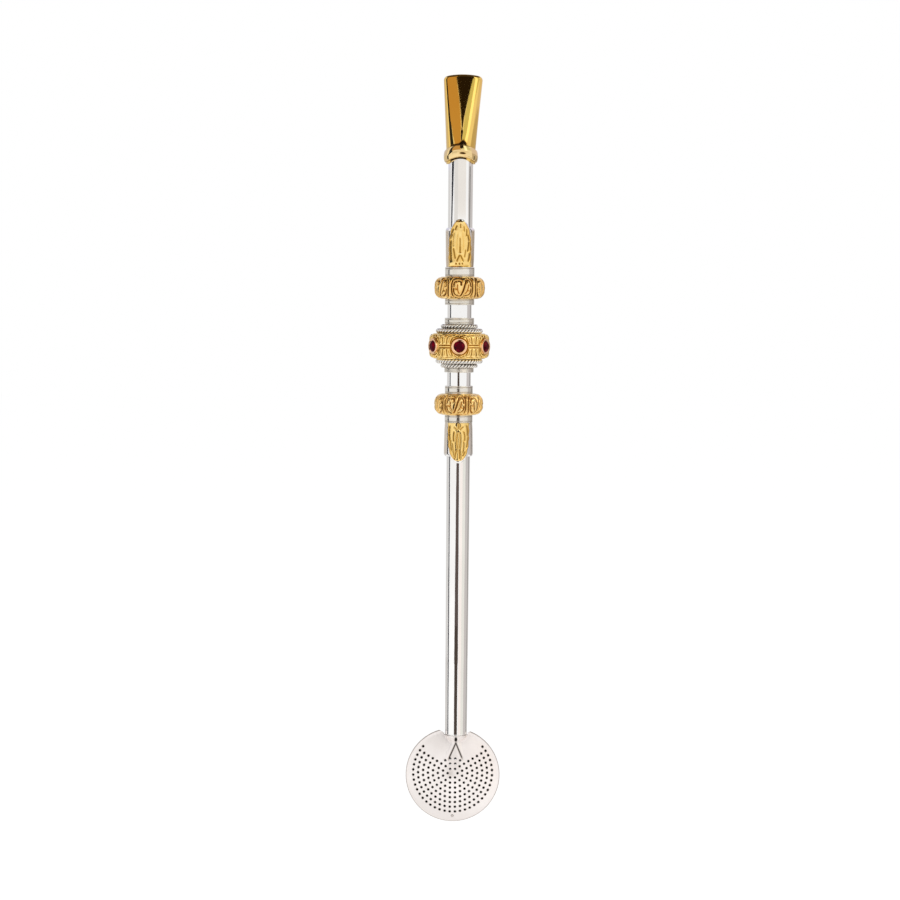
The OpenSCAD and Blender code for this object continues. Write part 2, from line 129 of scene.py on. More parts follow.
def gridQuads(rows, columns, wrapRows=True, wrapColumns=True):
    # the four corners of each cell of a grid, whose points are counted row by row
    a = np.arange(rows if wrapRows else rows - 1)
    b = np.arange(columns if wrapColumns else columns - 1)
    a, b = np.meshgrid(a, b, indexing="ij")
    c, d = (a + 1) % rows, (b + 1) % columns
    corners = [a * columns + b, c * columns + b, c * columns + d, a * columns + d]
    return np.stack(corners, -1).reshape(-1, 4)


def repeated(quads, times, points):
    # the same faces on several runs of points, one after another
    return (quads + points * np.arange(times)[:, None, None]).reshape(-1, 4)


def setLayer(mesh, name, domain, values):
    layer = mesh.attributes.new(name, "FLOAT", domain)
    layer.data.foreach_set("value", np.ascontiguousarray(values, np.float32).ravel())


def shadeSmooth(mesh, sharpAngle):
    mesh.polygons.foreach_set("use_smooth", np.ones(len(mesh.polygons), bool))
    mesh.set_sharp_from_angle(angle=math.radians(sharpAngle))


def putMesh(name, points, faces, finish, hollow=None, smooth=True, weld=False):
    mesh = bpy.data.meshes.new(name)
    rows = faces if isinstance(faces, list) else faces.tolist()
    mesh.from_pydata((points.reshape(-1, 3) * mm).tolist(), [], rows)
    if hollow is not None:
        setLayer(mesh, "hollow", "POINT", hollow)
    if weld:
        work = bmesh.new()
        work.from_mesh(mesh)
        bmesh.ops.remove_doubles(work, verts=work.verts, dist=meshWork["weldGap"])
        bmesh.ops.dissolve_degenerate(work, edges=work.edges, dist=meshWork["thinGap"])
        bmesh.ops.recalc_face_normals(work, faces=work.faces)
        work.to_mesh(mesh)
        work.free()
    mesh.update()
    if smooth:
        shadeSmooth(mesh, meshWork["sharpAngle"])
    mesh.materials.append(finish)
    return linked(name, mesh)


def putGrid(name, points, finish, hollow=None, flip=False):
    faces = gridQuads(*points.shape[:2])
    return putMesh(name, points, faces[:, ::-1] if flip else faces, finish, hollow)


def fit(piece, body, slot, *nodes):
    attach(piece, body)
    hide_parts(*nodes)


def joined(node):
    return node.replace("_", "")


def softStep(value, low, high):
    t = np.clip((value - low) / (high - low), 0, 1)
    return t * t * (3 - 2 * t)


def bell(value, width):
    return np.exp(-((value / width) ** 2))


def bowed(t, start, pull, end):
    # a curve from start to end that leans towards the pull
    return (1 - t) ** 2 * start + 2 * t * (1 - t) * pull + t**2 * end


softWork = {"steps": 6, "share": 0.3, "beside": 1.5}


def softLoop(corners):
    # closed outline: each corner (r, z, rounding) becomes a curve with a point on each side of it
    corners = np.array(corners, float)
    place = corners[:, :2]
    before, after = np.roll(place, 1, 0) - place, np.roll(place, -1, 0) - place
    beforeLength, afterLength = np.linalg.norm(before, axis=1), np.linalg.norm(after, axis=1)
    shorter = np.minimum(beforeLength, afterLength)
    cut = np.minimum(corners[:, 2], softWork["share"] * shorter)[:, None]
    before, after = before / beforeLength[:, None] * cut, after / afterLength[:, None] * cut
    t = np.linspace(0, 1, softWork["steps"])[None, :, None]
    curve = bowed(t, (place + before)[:, None], place[:, None], (place + after)[:, None])
    lead, trail = (place + side * softWork["beside"] for side in (before, after))
    return np.concatenate([lead[:, None], curve, trail[:, None]], 1).reshape(-1, 2)


def turns(sides):
    return np.arange(sides) * fullTurn / sides


def around(r, turn, z):
    # points at a radius, an angle round the axis and a height: x = r cos, y = r sin
    return np.stack(np.broadcast_arrays(r * np.cos(turn), r * np.sin(turn), z), -1)


plainSides = 160


def turned(outline, sides=plainSides):
    # outline (r, z) carried round the axis
    return around(outline[None, :, 0], turns(sides)[:, None], outline[None, :, 1])


# finishes
def newFinish(name):
    finish = bpy.data.materials.new(name)
    finish.use_nodes = True
    return finish, finish.node_tree, finish.node_tree.nodes["Principled BSDF"]


def feed(tree, node, inputs):
    # each input takes another node's output, a colour of three parts or a plain value
    for key, value in inputs.items():
        socket = node.inputs[key]
        if isinstance(value, bpy.types.NodeSocket):
            tree.links.new(value, socket)
        else:
            socket.default_value = (*value, 1) if socket.type == "RGBA" else value
    return node.outputs


def added(tree, kind, inputs):
    return feed(tree, tree.nodes.new("ShaderNode" + kind), inputs)


def noiseOn(tree, scale, detail, stretch=(1, 1, 1)):
    # noise on Object coordinates, drawn out along an axis where its stretch is small
    place = added(tree, "TexCoord", {})["Object"]
    mapped = added(tree, "Mapping", {"Vector": place, "Scale": stretch})["Vector"]
    return added(tree, "TexNoise", {"Vector": mapped, "Scale": scale, "Detail": detail})["Fac"]


def ranged(tree, value, fromLow, fromHigh, toLow, toHigh):
    ends = {"From Min": fromLow, "From Max": fromHigh, "To Min": toLow, "To Max": toHigh}
    return added(tree, "MapRange", {"Value": value, **ends})["Result"]


def computed(tree, operation, *values):
    node = tree.nodes.new("ShaderNodeMath")
    node.operation = operation
    return feed(tree, node, dict(enumerate(values)))["Value"]


def blended(tree, factor, first, second):
    # the node's colours are its inputs 6 and 7, and its output 2
    node = tree.nodes.new("ShaderNodeMix")
    node.data_type = "RGBA"
    return feed(tree, node, {"Factor": factor, 6: first, 7: second})[2]


def meshValue(tree, name):
    node = tree.nodes.new("ShaderNodeAttribute")
    node.attribute_name = name
    return node.outputs["Fac"]


def rampOf(tree, value, stops):
    # colours by a value from 0 to 1; each stop is a place and a colour
    ramp = tree.nodes.new("ShaderNodeValToRGB")
    elements = ramp.color_ramp.elements
    elements[0].color, elements[1].color = (*stops[0][1:], 1), (*stops[-1][1:], 1)
    for place, *colour in stops[1:-1]:
        elements.new(place).color = (*colour, 1)
    return feed(tree, ramp, {"Fac": value})["Color"]


metalWork = {
    "cloudDetail": 4, "cloudRange": (0.35, 0.75), "clearRange": (0.15, 0.8), "roughRange": (0.3, 0.7),
    "lineDetail": 2, "bumpHigh": 0.0001,
}


def metalFinish(name, look):
    # colour by the tarnish-and-shade value and by cloudy tarnish, roughness by the same clouds, fine
    # polishing lines as bump; the value is 0 on the heights, 1 in the cuts, and carries painted shade and
    # reflections too
    w = metalWork
    finish, tree, shader = newFinish(name)
    depth = meshValue(tree, "hollow")
    cloud = noiseOn(tree, look["cloudScale"], w["cloudDetail"])
    cloudy = ranged(tree, cloud, *w["cloudRange"], 0, look["cloudMix"])
    amount = computed(tree, "MULTIPLY", cloudy, ranged(tree, depth, *w["clearRange"], 1, 0))
    rough = ranged(tree, cloud, *w["roughRange"], *look["rough"])
    lines = noiseOn(tree, look["lineScale"], w["lineDetail"], look["lineStretch"])
    bump = {"Strength": look["bump"], "Distance": w["bumpHigh"], "Height": lines}
    feed(tree, shader, {
        "Metallic": 1,
        "Base Color": blended(tree, amount, rampOf(tree, depth, look["stops"]), look["cloud"]),
        "Roughness": computed(tree, "MULTIPLY_ADD", depth, look["deepRough"], rough),
        "Normal": added(tree, "Bump", bump)["Normal"],
    })
    return finish


plainLook = {"cloudMix": 0.8, "deepRough": 0.3, "lineScale": 2600, "lineStretch": (1, 1, 1), "bump": 0.05}
silverLook = {
    **plainLook, "stops": [(0, 0.94, 0.93, 0.915), (0.5, 0.66, 0.645, 0.62), (1, 0.16, 0.155, 0.145)],
    "cloudScale": 70, "cloud": (0.86, 0.845, 0.83), "rough": (0.045, 0.1), "lineStretch": (1, 1, 0.03),
}
softSilverLook = {
    **silverLook, "stops": [(0, 0.91, 0.885, 0.84), (0.5, 0.56, 0.51, 0.43), (1, 0.13, 0.112, 0.088)],
    "cloud": (0.78, 0.745, 0.69), "rough": (0.13, 0.22), "bump": 0.1,
}
collarLook = {
    **softSilverLook, "stops": [(0, 0.82, 0.78, 0.71), (0.5, 0.46, 0.4, 0.31), (1, 0.1, 0.08, 0.055)],
    "cloud": (0.62, 0.575, 0.495),
}
# the darker stops colour the painted shade on the sleeve's sides
sleeveLook = {
    **silverLook, "stops": [(0, 0.92, 0.9, 0.87), (0.5, 0.64, 0.48, 0.3), (1, 0.22, 0.13, 0.06)],
    "rough": (0.06, 0.14),
}
mirrorGiltLook = {
    **plainLook, "stops": [(0, 0.88, 0.6, 0.17), (0.5, 0.6, 0.32, 0.06), (1, 0.02, 0.009, 0.003)],
    "cloudScale": 90, "cloud": (0.84, 0.52, 0.125), "rough": (0.035, 0.08), "deepRough": 0.25,
    "lineScale": 2400, "lineStretch": (1, 1, 0.05), "bump": 0.04,
}
paleGiltLook = {
    **mirrorGiltLook, "stops": [(0, 0.88, 0.67, 0.34), (0.5, 0.55, 0.33, 0.11), (1, 0.05, 0.02, 0.005)],
    "cloud": (0.8, 0.56, 0.24),
}
roseGiltLook = {
    **plainLook, "stops": [(0, 0.95, 0.6, 0.36), (0.5, 0.7, 0.36, 0.16), (1, 0.16, 0.065, 0.02)],
    "cloudScale": 300, "cloud": (0.88, 0.52, 0.26), "cloudMix": 0.7, "rough": (0.06, 0.12),
    "deepRough": 0.25,
}
workedGiltLook = {
    **plainLook, "stops": [
        (0, 1, 0.74, 0.33), (0.3, 0.88, 0.54, 0.17), (0.65, 0.46, 0.22, 0.05), (1, 0.07, 0.026, 0.004),
    ],
    "cloudScale": 420, "cloud": (0.78, 0.46, 0.13), "rough": (0.08, 0.15), "lineScale": 3200, "bump": 0.1,
}
leafGiltLook = {
    **workedGiltLook, "cloud": (0.86, 0.55, 0.16), "stops": [
        (0, 1, 0.75, 0.31), (0.3, 0.9, 0.57, 0.16), (0.65, 0.57, 0.31, 0.055), (1, 0.19, 0.095, 0.012),
    ],
}
satinLook = {
    **plainLook, "stops": [(0, 0.94, 0.892, 0.868), (0.5, 0.54, 0.485, 0.45), (1, 0.01, 0.009, 0.008)],
    "cloudScale": 120, "cloud": (0.87, 0.82, 0.795), "cloudMix": 0.7, "rough": (0.44, 0.54),
    "deepRough": 0.2, "lineScale": 5200, "bump": 0.2,
}
silver = metalFinish("polishedSilver", silverLook)
softSilver = metalFinish("softSilver", softSilverLook)
collarSilver = metalFinish("collarSilver", collarLook)
sleeveSilver = metalFinish("sleeveSilver", sleeveLook)
paleGilt = metalFinish("paleGilt", paleGiltLook)
mirrorGilt = metalFinish("mirrorGilt", mirrorGiltLook)
roseGilt = metalFinish("roseGilt", roseGiltLook)
workedGilt = metalFinish("workedGilt", workedGiltLook)
leafGilt = metalFinish("leafGilt", leafGiltLook)
satinSilver = metalFinish("satinSilver", satinLook)
# the dark and bright colours are the two ends of each facet's painted glint
garnetLook = {
    "dark": (0.035, 0.0, 0.004), "bright": (0.21, 0.002, 0.012), "cloud": (0.1, 0.001, 0.012),
    "cloudScale": 900, "cloudDetail": 3, "cloudRange": (0.4, 0.7), "cloudMix": 0.5,
    "rough": 0.06, "specular": 0.05,
}


def garnetFinish(name, look):
    # each facet has its own painted glint, lighter or darker, and a faint cloud runs through the stone
    finish, tree, shader = newFinish(name)
    facets = blended(tree, meshValue(tree, "paintedGlint"), look["dark"], look["bright"])
    cloud = noiseOn(tree, look["cloudScale"], look["cloudDetail"])
    amount = ranged(tree, cloud, *look["cloudRange"], 0, look["cloudMix"])
    feed(tree, shader, {
        "Base Color": blended(tree, amount, facets, look["cloud"]),
        "Roughness": look["rough"], "Specular IOR Level": look["specular"],
    })
    return finish


garnet = garnetFinish("garnet", garnetLook)
print("finishes made")


# plain turned pieces: the tube, the collars, the bead's caps and the spigot
tubeWork = {"edge": 0.12, "sides": 200}


def makeTube():
    # a cone outside and in, with its square-cut ends barely softened
    edge = tubeWork["edge"]
    outline = softLoop([
        (stemFootR, stemFoot, edge), (stemTopR, stemTop, edge),
        (stemTopR - stemWall, stemTop, edge), (stemBoreR, stemFoot, edge),
    ])
    fit(putGrid("stemTube", turned(outline, tubeWork["sides"]), silver), "stem", "silver", "stem_tube")


collarWork = {
    "round": 0.34, "lineIn": 0.36, "lineAt": 0.52, "lineWidth": 0.15, "lineDepth": 0.05, "levels": 60,
    "tarnish": 0.7, "tallCollar": 3.0,
}
collarNodes = [
    f"{place}_{end}_collar" for place in ("upper_ring", "bead", "lower_ring") for end in ("top", "bottom")
]


def makeCollars():
    # a rounded band with a turned line near each edge
    w = collarWork
    for node in collarNodes:
        r, low, high = turnedSize(node)
        corners = softLoop([
            (r, low, w["round"]), (r, high, w["round"]),
            (stemR(high) + seam, high, boreRound), (stemR(low) + seam, low, boreRound),
        ])
        side = np.linspace(low + w["lineIn"], high - w["lineIn"], w["levels"])[1:-1]
        wall = np.stack([np.full_like(side, r), side], -1)
        first = softWork["steps"] + 2  # points of the first corner
        outline = np.concatenate([corners[:first], wall, corners[first:]])
        cut = sum(bell(outline[:, 1] - z, w["lineWidth"]) for z in (low + w["lineAt"], high - w["lineAt"]))
        cut = cut * (outline[:, 0] > r - sameLevel)
        outline[:, 0] -= w["lineDepth"] * cut
        # the lines of a low collar stand close together, so they are tarnished less
        dark = w["tarnish"] * min(1, (high - low) / w["tallCollar"])
        hollow = np.broadcast_to(dark * cut, (plainSides, len(cut)))
        fit(putGrid(joined(node) + "Turned", turned(outline), collarSilver, hollow), "stem", "silver", node)


capWork = {"round": 0.12, "tarnish": 0.5}


def makeCaps():
    # a stepped disc under the twisted wires, dull because a cloth never reaches it
    for node, side in (("bead_top_cap", 1), ("bead_bottom_cap", -1)):
        reach, height = solidReach(node)
        height = height * side
        steps = np.unique(np.round(height, 2))
        rims = [reach[height > z - 2 * sameLevel].max() for z in steps]
        corners = []
        for below, above, r in zip(steps[:-1], steps[1:], rims[1:]):
            corners += [(r, below, capWork["round"]), (r, above, capWork["round"])]
        bore = max(stemR(steps[0] * side), stemR(steps[-1] * side)) + seam
        corners += [(bore, steps[-1], boreRound), (bore, steps[0], boreRound)]
        rings = turned(softLoop(corners) * (1, side))
        hollow = np.full(rings.shape[:2], capWork["tarnish"])
        fit(putGrid(joined(node) + "Step", rings, silver, hollow, flip=side < 0), "stem", "silver", node)


spigotWork = {"footRound": 0.1, "leadRound": 0.25, "boreRound": 0.08, "draft": 0.02}


def makeSpigot():
    # a plain tube, a trace narrower at the end that goes in first
    w = spigotWork
    r, low, high = turnedSize("strainer_spigot")
    inner = solidReach("strainer_spigot")[0].min()
    outline = softLoop([
        (r, low, w["footRound"]), (r - w["draft"], high, w["leadRound"]),
        (inner, high, w["boreRound"]), (inner, low, w["boreRound"]),
    ])
    fit(putGrid("spigotTube", turned(outline), silver), "strainer", "silver", "strainer_spigot")


makeTube()
makeCollars()
makeCaps()
makeSpigot()
print("turned pieces made")


# mouthpiece: each level is a circle swept along a bar, which grows from nothing at the foot to a wide tip
mouthWork = {
    "tipThick": 5.6, "tipHigh": 2.0, "lipRound": 1.2, "lipDrop": 0.7, "crease": 2.4, "bevel": 0.1,
    "skirtGap": 0.3, "slotWide": 7.6, "slotThick": 2.4, "slotDepth": 1.0, "slotEdge": 0.06,
    "socketStop": 0.05, "socketEdge": 0.08, "sides": 256, "levels": 60, "lipLevels": 10, "wayLevels": 14,
    "saddle": 0.8, "saddleRise": 0.5, "saddleTop": 6.0,
    "paintedShadeHigh": 0.6, "paintedShadeEnds": (-3.9, 2.4), "paintedShadeFade": 0.8, "paintedShadeEdge": (0.7, 1.1),
    "reflectionBlotX": 0.8, "reflectionBlotWide": 1.0, "reflectionBlotHigh": 1.8,
}


def saddle(turn):
    # how far the ring and the mouthpiece's foot stand over their level, by the angle round the axis
    return mouthWork["saddleRise"] - mouthWork["saddle"] * np.cos(2 * turn)


def makeMouthpiece():
    w = mouthWork
    reach, height = solidReach("mouthpiece")
    foot, tip = height.min(), height.max()
    ringTop = turnedSize("mouthpiece_ring")[2]
    baseR = reach[height < foot + sameLevel].max()
    tipX = solidPoints("mouthpiece")[height > tip - w["tipHigh"], 0]
    tipR, offset = w["tipThick"] / 2, (tipX.min() + tipX.max()) / 2
    tipBar = (tipX.max() - tipX.min()) / 2 - tipR
    slotR, slotBar = w["slotThick"] / 2, (w["slotWide"] - w["slotThick"]) / 2
    socketR, boreR = stemTopR + seam, stemTopR - stemWall
    lipFoot, slotFoot = tip - w["lipRound"], tip - w["slotDepth"]
    # columns: height, radius, half bar and sideways set of each level, up from the foot, over the lip
    # and down the way
    rise = np.linspace(0, 1, w["levels"])
    lip = np.linspace(0, quarter, w["lipLevels"])[1:]
    way = np.linspace(0, 1, w["wayLevels"])[1:]
    skirtHigh = (foot, foot + w["bevel"], ringTop - w["skirtGap"])
    skirt = [(z, r, 0, 0) for z, r in zip(skirtHigh, (baseR - w["bevel"], baseR, baseR))]
    flareHigh, flareR = ringTop + rise * (lipFoot - ringTop), baseR + (tipR - baseR) * rise
    flare = np.stack([flareHigh, flareR, tipBar * rise, offset * rise], -1)
    lipHigh, lipR = lipFoot + w["lipRound"] * np.sin(lip), tipR - w["lipRound"] * (1 - np.cos(lip))
    lips = np.stack(np.broadcast_arrays(lipHigh, lipR, tipBar, offset), -1)
    edge = w["slotEdge"]
    slot = [(tip - down, slotR + out, slotBar, offset) for down, out in ((edge / 2, edge), (2 * edge, 0))]
    slot += [(slotFoot, slotR, slotBar, offset)]
    wayHigh, wayR = slotFoot + way * (stemTop - slotFoot), slotR + way * (boreR - slotR)
    inner = np.stack([wayHigh, wayR, slotBar * (1 - way), offset * (1 - way)], -1)
    socketHigh = (stemTop - w["socketStop"], foot + w["socketEdge"], foot)
    socket = [(z, socketR + out, 0, 0) for z, out in zip(socketHigh, (0, 0, edge))]
    level = np.concatenate([skirt, flare, lips, slot, inner, socket])
    turn = turns(w["sides"])[:, None]
    swing = np.tanh(w["crease"] * np.cos(turn)) / np.tanh(w["crease"])
    z, r, bar, shift = level.T[:, None]
    x, y = shift + bar * swing + r * np.cos(turn), r * np.sin(turn)
    # the foot follows the saddle, which dies out up the flare, and the lips drop towards the corners
    outside = np.arange(len(level)) < len(level) - len(socket) - len(inner)
    saddleTop = ringTop + w["saddleTop"]
    ride = saddle(turn) * np.clip((saddleTop - z) / w["saddleTop"], 0, 1) * outside
    ride[:, -2:] += saddle(turn)
    drop = w["lipDrop"] * ((x - shift) / (tipBar + tipR)) ** 2 * softStep(z, saddleTop, tip) * outside
    # painted shade over the ring, in front only, and a taller painted dark reflection beside the middle
    paintedShadeHigh = w["paintedShadeHigh"] + w["reflectionBlotHigh"] * bell(x - w["reflectionBlotX"], w["reflectionBlotWide"])
    (left, right), fade = w["paintedShadeEnds"], w["paintedShadeFade"]
    ends = softStep(x, left, left + fade) * softStep(-x, -right, fade - right) * (y < 0)
    hollow = (1 - softStep((z - ringTop) / paintedShadeHigh, *w["paintedShadeEdge"])) * ends * outside
    piece = putGrid("mouthpieceShell", np.stack([x, y, z + ride - drop], -1), mirrorGilt, hollow)
    fit(piece, "stem", "gilt", "mouthpiece")


mouthRingWork = {
    "land": 0.15, "lineAt": 0.8, "lineWidth": 0.1, "lineDepth": 0.08, "lineShade": 0.7, "levels": 60,
    "sides": 200, "reflectionX": 0.6, "reflectionZ": -0.75, "reflectionWide": 1.25, "reflectionTall": 0.42,
    "reflectionEdge": (0.6, 1.1),
}


def makeMouthRing():
    # half an ellipse between two narrow lands, with a line cut just inside each land
    w = mouthRingWork
    outer, low, high = turnedSize("mouthpiece_ring")
    bore = solidReach("mouthpiece_ring")[0].min()
    mid, land = (low + high) / 2, bore + w["land"]
    a = np.linspace(-quarter, quarter, w["levels"])
    cut = bell(np.abs(a) - w["lineAt"] * quarter, w["lineWidth"])
    r = land + (outer - land) * np.cos(a) - w["lineDepth"] * cut
    outline = np.stack([r, mid + (high - low) / 2 * np.sin(a)], -1)
    outline = np.concatenate([outline, [(bore, high - sameLevel), (bore, low + sameLevel)]])
    x, y, z = np.moveaxis(turned(outline, w["sides"]), -1, 0)
    # a painted dark reflection across the front of the ring
    streak = np.hypot((x - w["reflectionX"]) / w["reflectionWide"], (z - mid - w["reflectionZ"]) / w["reflectionTall"])
    lines = np.append(w["lineShade"] * cut, [0, 0])
    hollow = np.maximum(lines, (1 - softStep(streak, *w["reflectionEdge"])) * (y < 0))
    rings = np.stack([x, y, z + saddle(np.arctan2(y, x))], -1)
    fit(putGrid("mouthpieceBeadRing", rings, paleGilt, hollow), "stem", "gilt", "mouthpiece_ring")


makeMouthpiece()
makeMouthRing()
print("mouthpiece made")


# chased work: strokes cut into a flat grid as heights, 0 on the metal and -1 at the bottom of a full cut;
# a stroke is its start, the place it leans to and its end, each across and up, then its width and depth
cutWork = {
    "line": 0.6, "valley": 0.4, "valleyWidth": 4.2, "fadeFrom": -0.05, "dark": (0.34, 0.86),
    "warm": (0.05, 0.4), "rim": 0.8, "pathPoints": 48, "arcPoints": 30,
}


def curvePath(ends):
    t = np.linspace(0, 1, cutWork["pathPoints"])[:, None]
    return bowed(t, *np.reshape(ends, (3, 2)))


def nearest(x, y, path):
    # distance to the nearest place on a path, and how far along the path that is
    gap = (x[..., None] - path[:, 0]) ** 2 + (y[..., None] - path[:, 1]) ** 2
    index = gap.argmin(-1)
    return np.sqrt(np.take_along_axis(gap, index[..., None], -1)[..., 0]), index / (len(path) - 1)


def chased(x, y, work):
    # each stroke is a thin line with a broad soft valley beside it, both fading out at the stroke's ends
    w = cutWork
    cut = np.zeros(x.shape)
    span = (w["fadeFrom"], work["taper"])
    for *ends, width, depth in work["strokes"]:
        away, along = nearest(x, y, curvePath(ends))
        fade = softStep(along, *span) * softStep(1 - along, *span)
        line = w["line"] * bell(away, work["weight"] * width)
        valley = w["valley"] * bell(away, w["valleyWidth"] * width)
        cut = np.maximum(cut, depth * fade * (line + valley))
    return -cut


def tarnish(height, shade):
    # tarnish dark along the lines, and a warm painted shade in the valleys beside them
    return np.maximum(softStep(-height, *cutWork["dark"]), shade * softStep(-height, *cutWork["warm"]))


strokePlaces = 6  # the numbers in a stroke that say where it runs


def mirrored(rows, axis=0):
    # strokes, and the same strokes on the other side of the middle
    images = np.array(rows, float)
    images[:, axis:strokePlaces:2] *= -1
    return rows + images.tolist()


def barrelLine(r, low, high, rounding, bore, count):
    # outline of a rounded block from the bore's foot round to its top, in even steps, with its normal
    a = np.linspace(-quarter, 0, cutWork["arcPoints"])
    lowArc = np.stack([r - rounding + rounding * np.cos(a), low + rounding + rounding * np.sin(a)], -1)
    highArc = np.stack([lowArc[::-1, 0], low + high - lowArc[::-1, 1]], -1)
    path = np.concatenate([[(bore, low)], lowArc, highArc, [(bore, high)]])
    length = np.concatenate([[0], np.cumsum(np.linalg.norm(np.diff(path, axis=0), axis=1))])
    even = np.linspace(0, length[-1], count)
    line = np.stack([np.interp(even, length, path[:, 0]), np.interp(even, length, path[:, 1])], -1)
    tangent = np.gradient(line, axis=0)
    tangent /= np.linalg.norm(tangent, axis=1)[:, None]
    return line, np.stack([tangent[:, 1], -tangent[:, 0]], -1), even - length[-1] / 2


def ringCell(work, r, low, high, bore):
    # a ring's outline with its normal, then one cell of its work laid flat: how far each place is from the
    # nearer end of the cell's middle line, the height of the strokes, and that of the line along each rim
    line, normal, up = barrelLine(r, low, high, work["round"], bore, work["down"])
    wide = fullTurn * r / work["cells"]
    across = ((np.arange(work["across"]) + 0.5) / work["across"] - 0.5) * wide
    x, y = np.meshgrid(across, up, indexing="ij")
    cut = chased(x, y, work) * (np.abs(y) < work["edge"])
    rim = -cutWork["rim"] * bell(np.abs(y) - work["edge"], work["rimLine"])
    return (line, normal), np.hypot(np.abs(x) - wide / 2, y), cut, rim


def engravedRing(name, outline, cell, work, start, finish, cutShade):
    # the outline goes round the axis, pushed in along its normal by the cell's work, which repeats
    height = np.tile(cell, (work["cells"], 1))
    turn = start + (np.arange(len(height)) + 0.5)[:, None] * fullTurn / len(height)
    line, normal = outline
    r, z = (line[:, i] + work["depth"] * height * normal[:, i] for i in range(2))
    return putGrid(name, around(r, turn, z), finish, cutShade * tarnish(height, work["shade"]))


# gilt rings: two scrolling leaves in each of six panels, parted by ribbons with a bowed line on each side
ringWork = {
    "cells": 6, "round": 2.7, "depth": 0.6, "weight": 1.15, "taper": 0.12, "shade": 0.3, "across": 100,
    "down": 150, "edge": 4.5, "rimLine": 0.15,
    "rings": {"upper_ring": {"turn": 6, "cutShade": 0.94}, "lower_ring": {"turn": -9, "cutShade": 0.78}},
    "strokes": mirrored([(-3.3, 4.1, -4.35, 0, -3.3, -4.1, 0.24, 1)]) + [
        (-0.9, -3.9, 0.7, -0.8, 1.6, 3.8, 0.23, 1),
        (-0.9, -3.6, -3.7, -2.6, -2.9, 0.3, 0.2, 0.95),
        (-2.9, 0.3, -3.3, 2.6, -1.6, 2.6, 0.2, 0.95),
        (-1.7, 2.6, -0.1, 2.9, -0.5, 0.7, 0.23, 1),
        (-0.9, -2.5, -2, -0.7, -1.6, 1.4, 0.14, 0.75),
        (-1.75, -0.4, -2.2, -0.5, -2.55, 0, 0.14, 0.7),
        (0.3, -3.3, 3.5, -3.1, 3.1, 0.1, 0.2, 0.95),
        (3.1, 0.1, 3.1, 2.6, 1.9, 3.5, 0.2, 0.95),
        (0.7, -2.3, 2.1, -1.3, 2.35, 1.6, 0.14, 0.75),
        (1.9, -0.7, 2.4, -1.2, 2.8, -1, 0.14, 0.7),
    ],
}


def makeRings():
    w = ringWork
    for node, ring in w["rings"].items():
        r, low, high = turnedSize(node)
        outline, _, cut, rim = ringCell(w, r, low, high, stemR(high) + seam)
        start = -quarter - fullTurn / w["cells"] / 2 + math.radians(ring["turn"])
        name = joined(node) + "Engraved"
        piece = engravedRing(name, outline, np.minimum(cut, rim), w, start, workedGilt, ring["cutShade"])
        fit(piece, "stem", "gilt", node)


makeRings()
print("gilt rings made")


# bead: an engraved band with a stone at each of six places, and a bar with flared petals between the bezels
petals = [
    (0.8, 0.6, 0.7, 2, 1.2, 3.7, 0.18, 1),
    (0, 1.3, 0, 2, 0, 3.2, 0.13, 0.75),
    (1.5, 1.2, 1.6, 2, 2.1, 3.3, 0.13, 0.75),
    (2.1, 0.7, 2.2, 1.7, 3.2, 3.6, 0.19, 1),
    (1.2, 3.7, 0.6, 4.5, 0, 4.4, 0.16, 0.95),
    (1.2, 3.7, 1.9, 4.4, 3, 3.9, 0.16, 0.95),
    (3.4, 3.2, 4.2, 3.6, 4.4, 4.4, 0.18, 1),
    (5.3, 3.2, 4.9, 3.7, 4.8, 4.4, 0.16, 0.95),
]
bandWork = {
    "cells": 6, "round": 1.9, "depth": 0.45, "weight": 0.95, "taper": 0.15, "shade": 0.17, "across": 104,
    "down": 150, "edge": 4.6, "rimLine": 0.14, "cutShade": 0.85, "collar": 2.95, "collarFade": 0.1,
    "collarLine": 0.2, "pocket": 2.5, "pocketEdge": 0.12, "pocketDepth": 1.3,
    "strokes": mirrored(mirrored(petals) + [(-2.5, 0.42, 0, 0.38, 2.5, 0.42, 0.14, 1)], 1),
}


def makeBand():
    w = bandWork
    _, low, high = turnedSize("bead_band")
    reach = solidReach("bead_band")[0]
    outline, away, cut, rim = ringCell(w, reach.max(), low, high, reach.min())
    cut = np.minimum(cut * softStep(away, w["collar"] - w["collarFade"], w["collar"]), rim)
    cut = np.minimum(cut, -bell(away - w["collar"], w["collarLine"]))
    pocket = 1 - softStep(away, w["pocket"] - w["pocketEdge"], w["pocket"] + w["pocketEdge"])
    cut = cut - pocket * w["pocketDepth"] / w["depth"]
    piece = engravedRing("beadBandEngraved", outline, cut, w, -quarter, leafGilt, w["cutShade"])
    fit(piece, "stem", "gilt", "bead_band")


bandMid = (turnedSize("bead_band")[1] + turnedSize("bead_band")[2]) / 2
stoneCount = 6


def aroundBand(local):
    # local (across, up, out) set at each stone's place, the first one in front; out is away from the axis
    turn = turns(stoneCount)[:, None]
    x, up, out = local.reshape(-1, 3).T[:, None]
    px = x * np.cos(turn) + out * np.sin(turn)
    py = x * np.sin(turn) - out * np.cos(turn)
    return np.stack(np.broadcast_arrays(px, py, up + bandMid), -1)


def frontReach(node):
    # how far forward each point of the front one of six solids stands
    x, y, _ = solidPoints(node).T
    return -y[(np.abs(x) < bezelWork["outer"] + bezelWork["bevel"]) & (y < 0)]


bezelWork = {
    "outer": 2.6, "inner": 1.85, "lip": 0.3, "lipRise": 0.62, "lipRound": 0.48, "lipLean": 0.08,
    "lipPoints": 14, "grip": 0.06, "cup": 1.03, "hole": 0.4, "bevel": 0.1, "sides": 72,
}


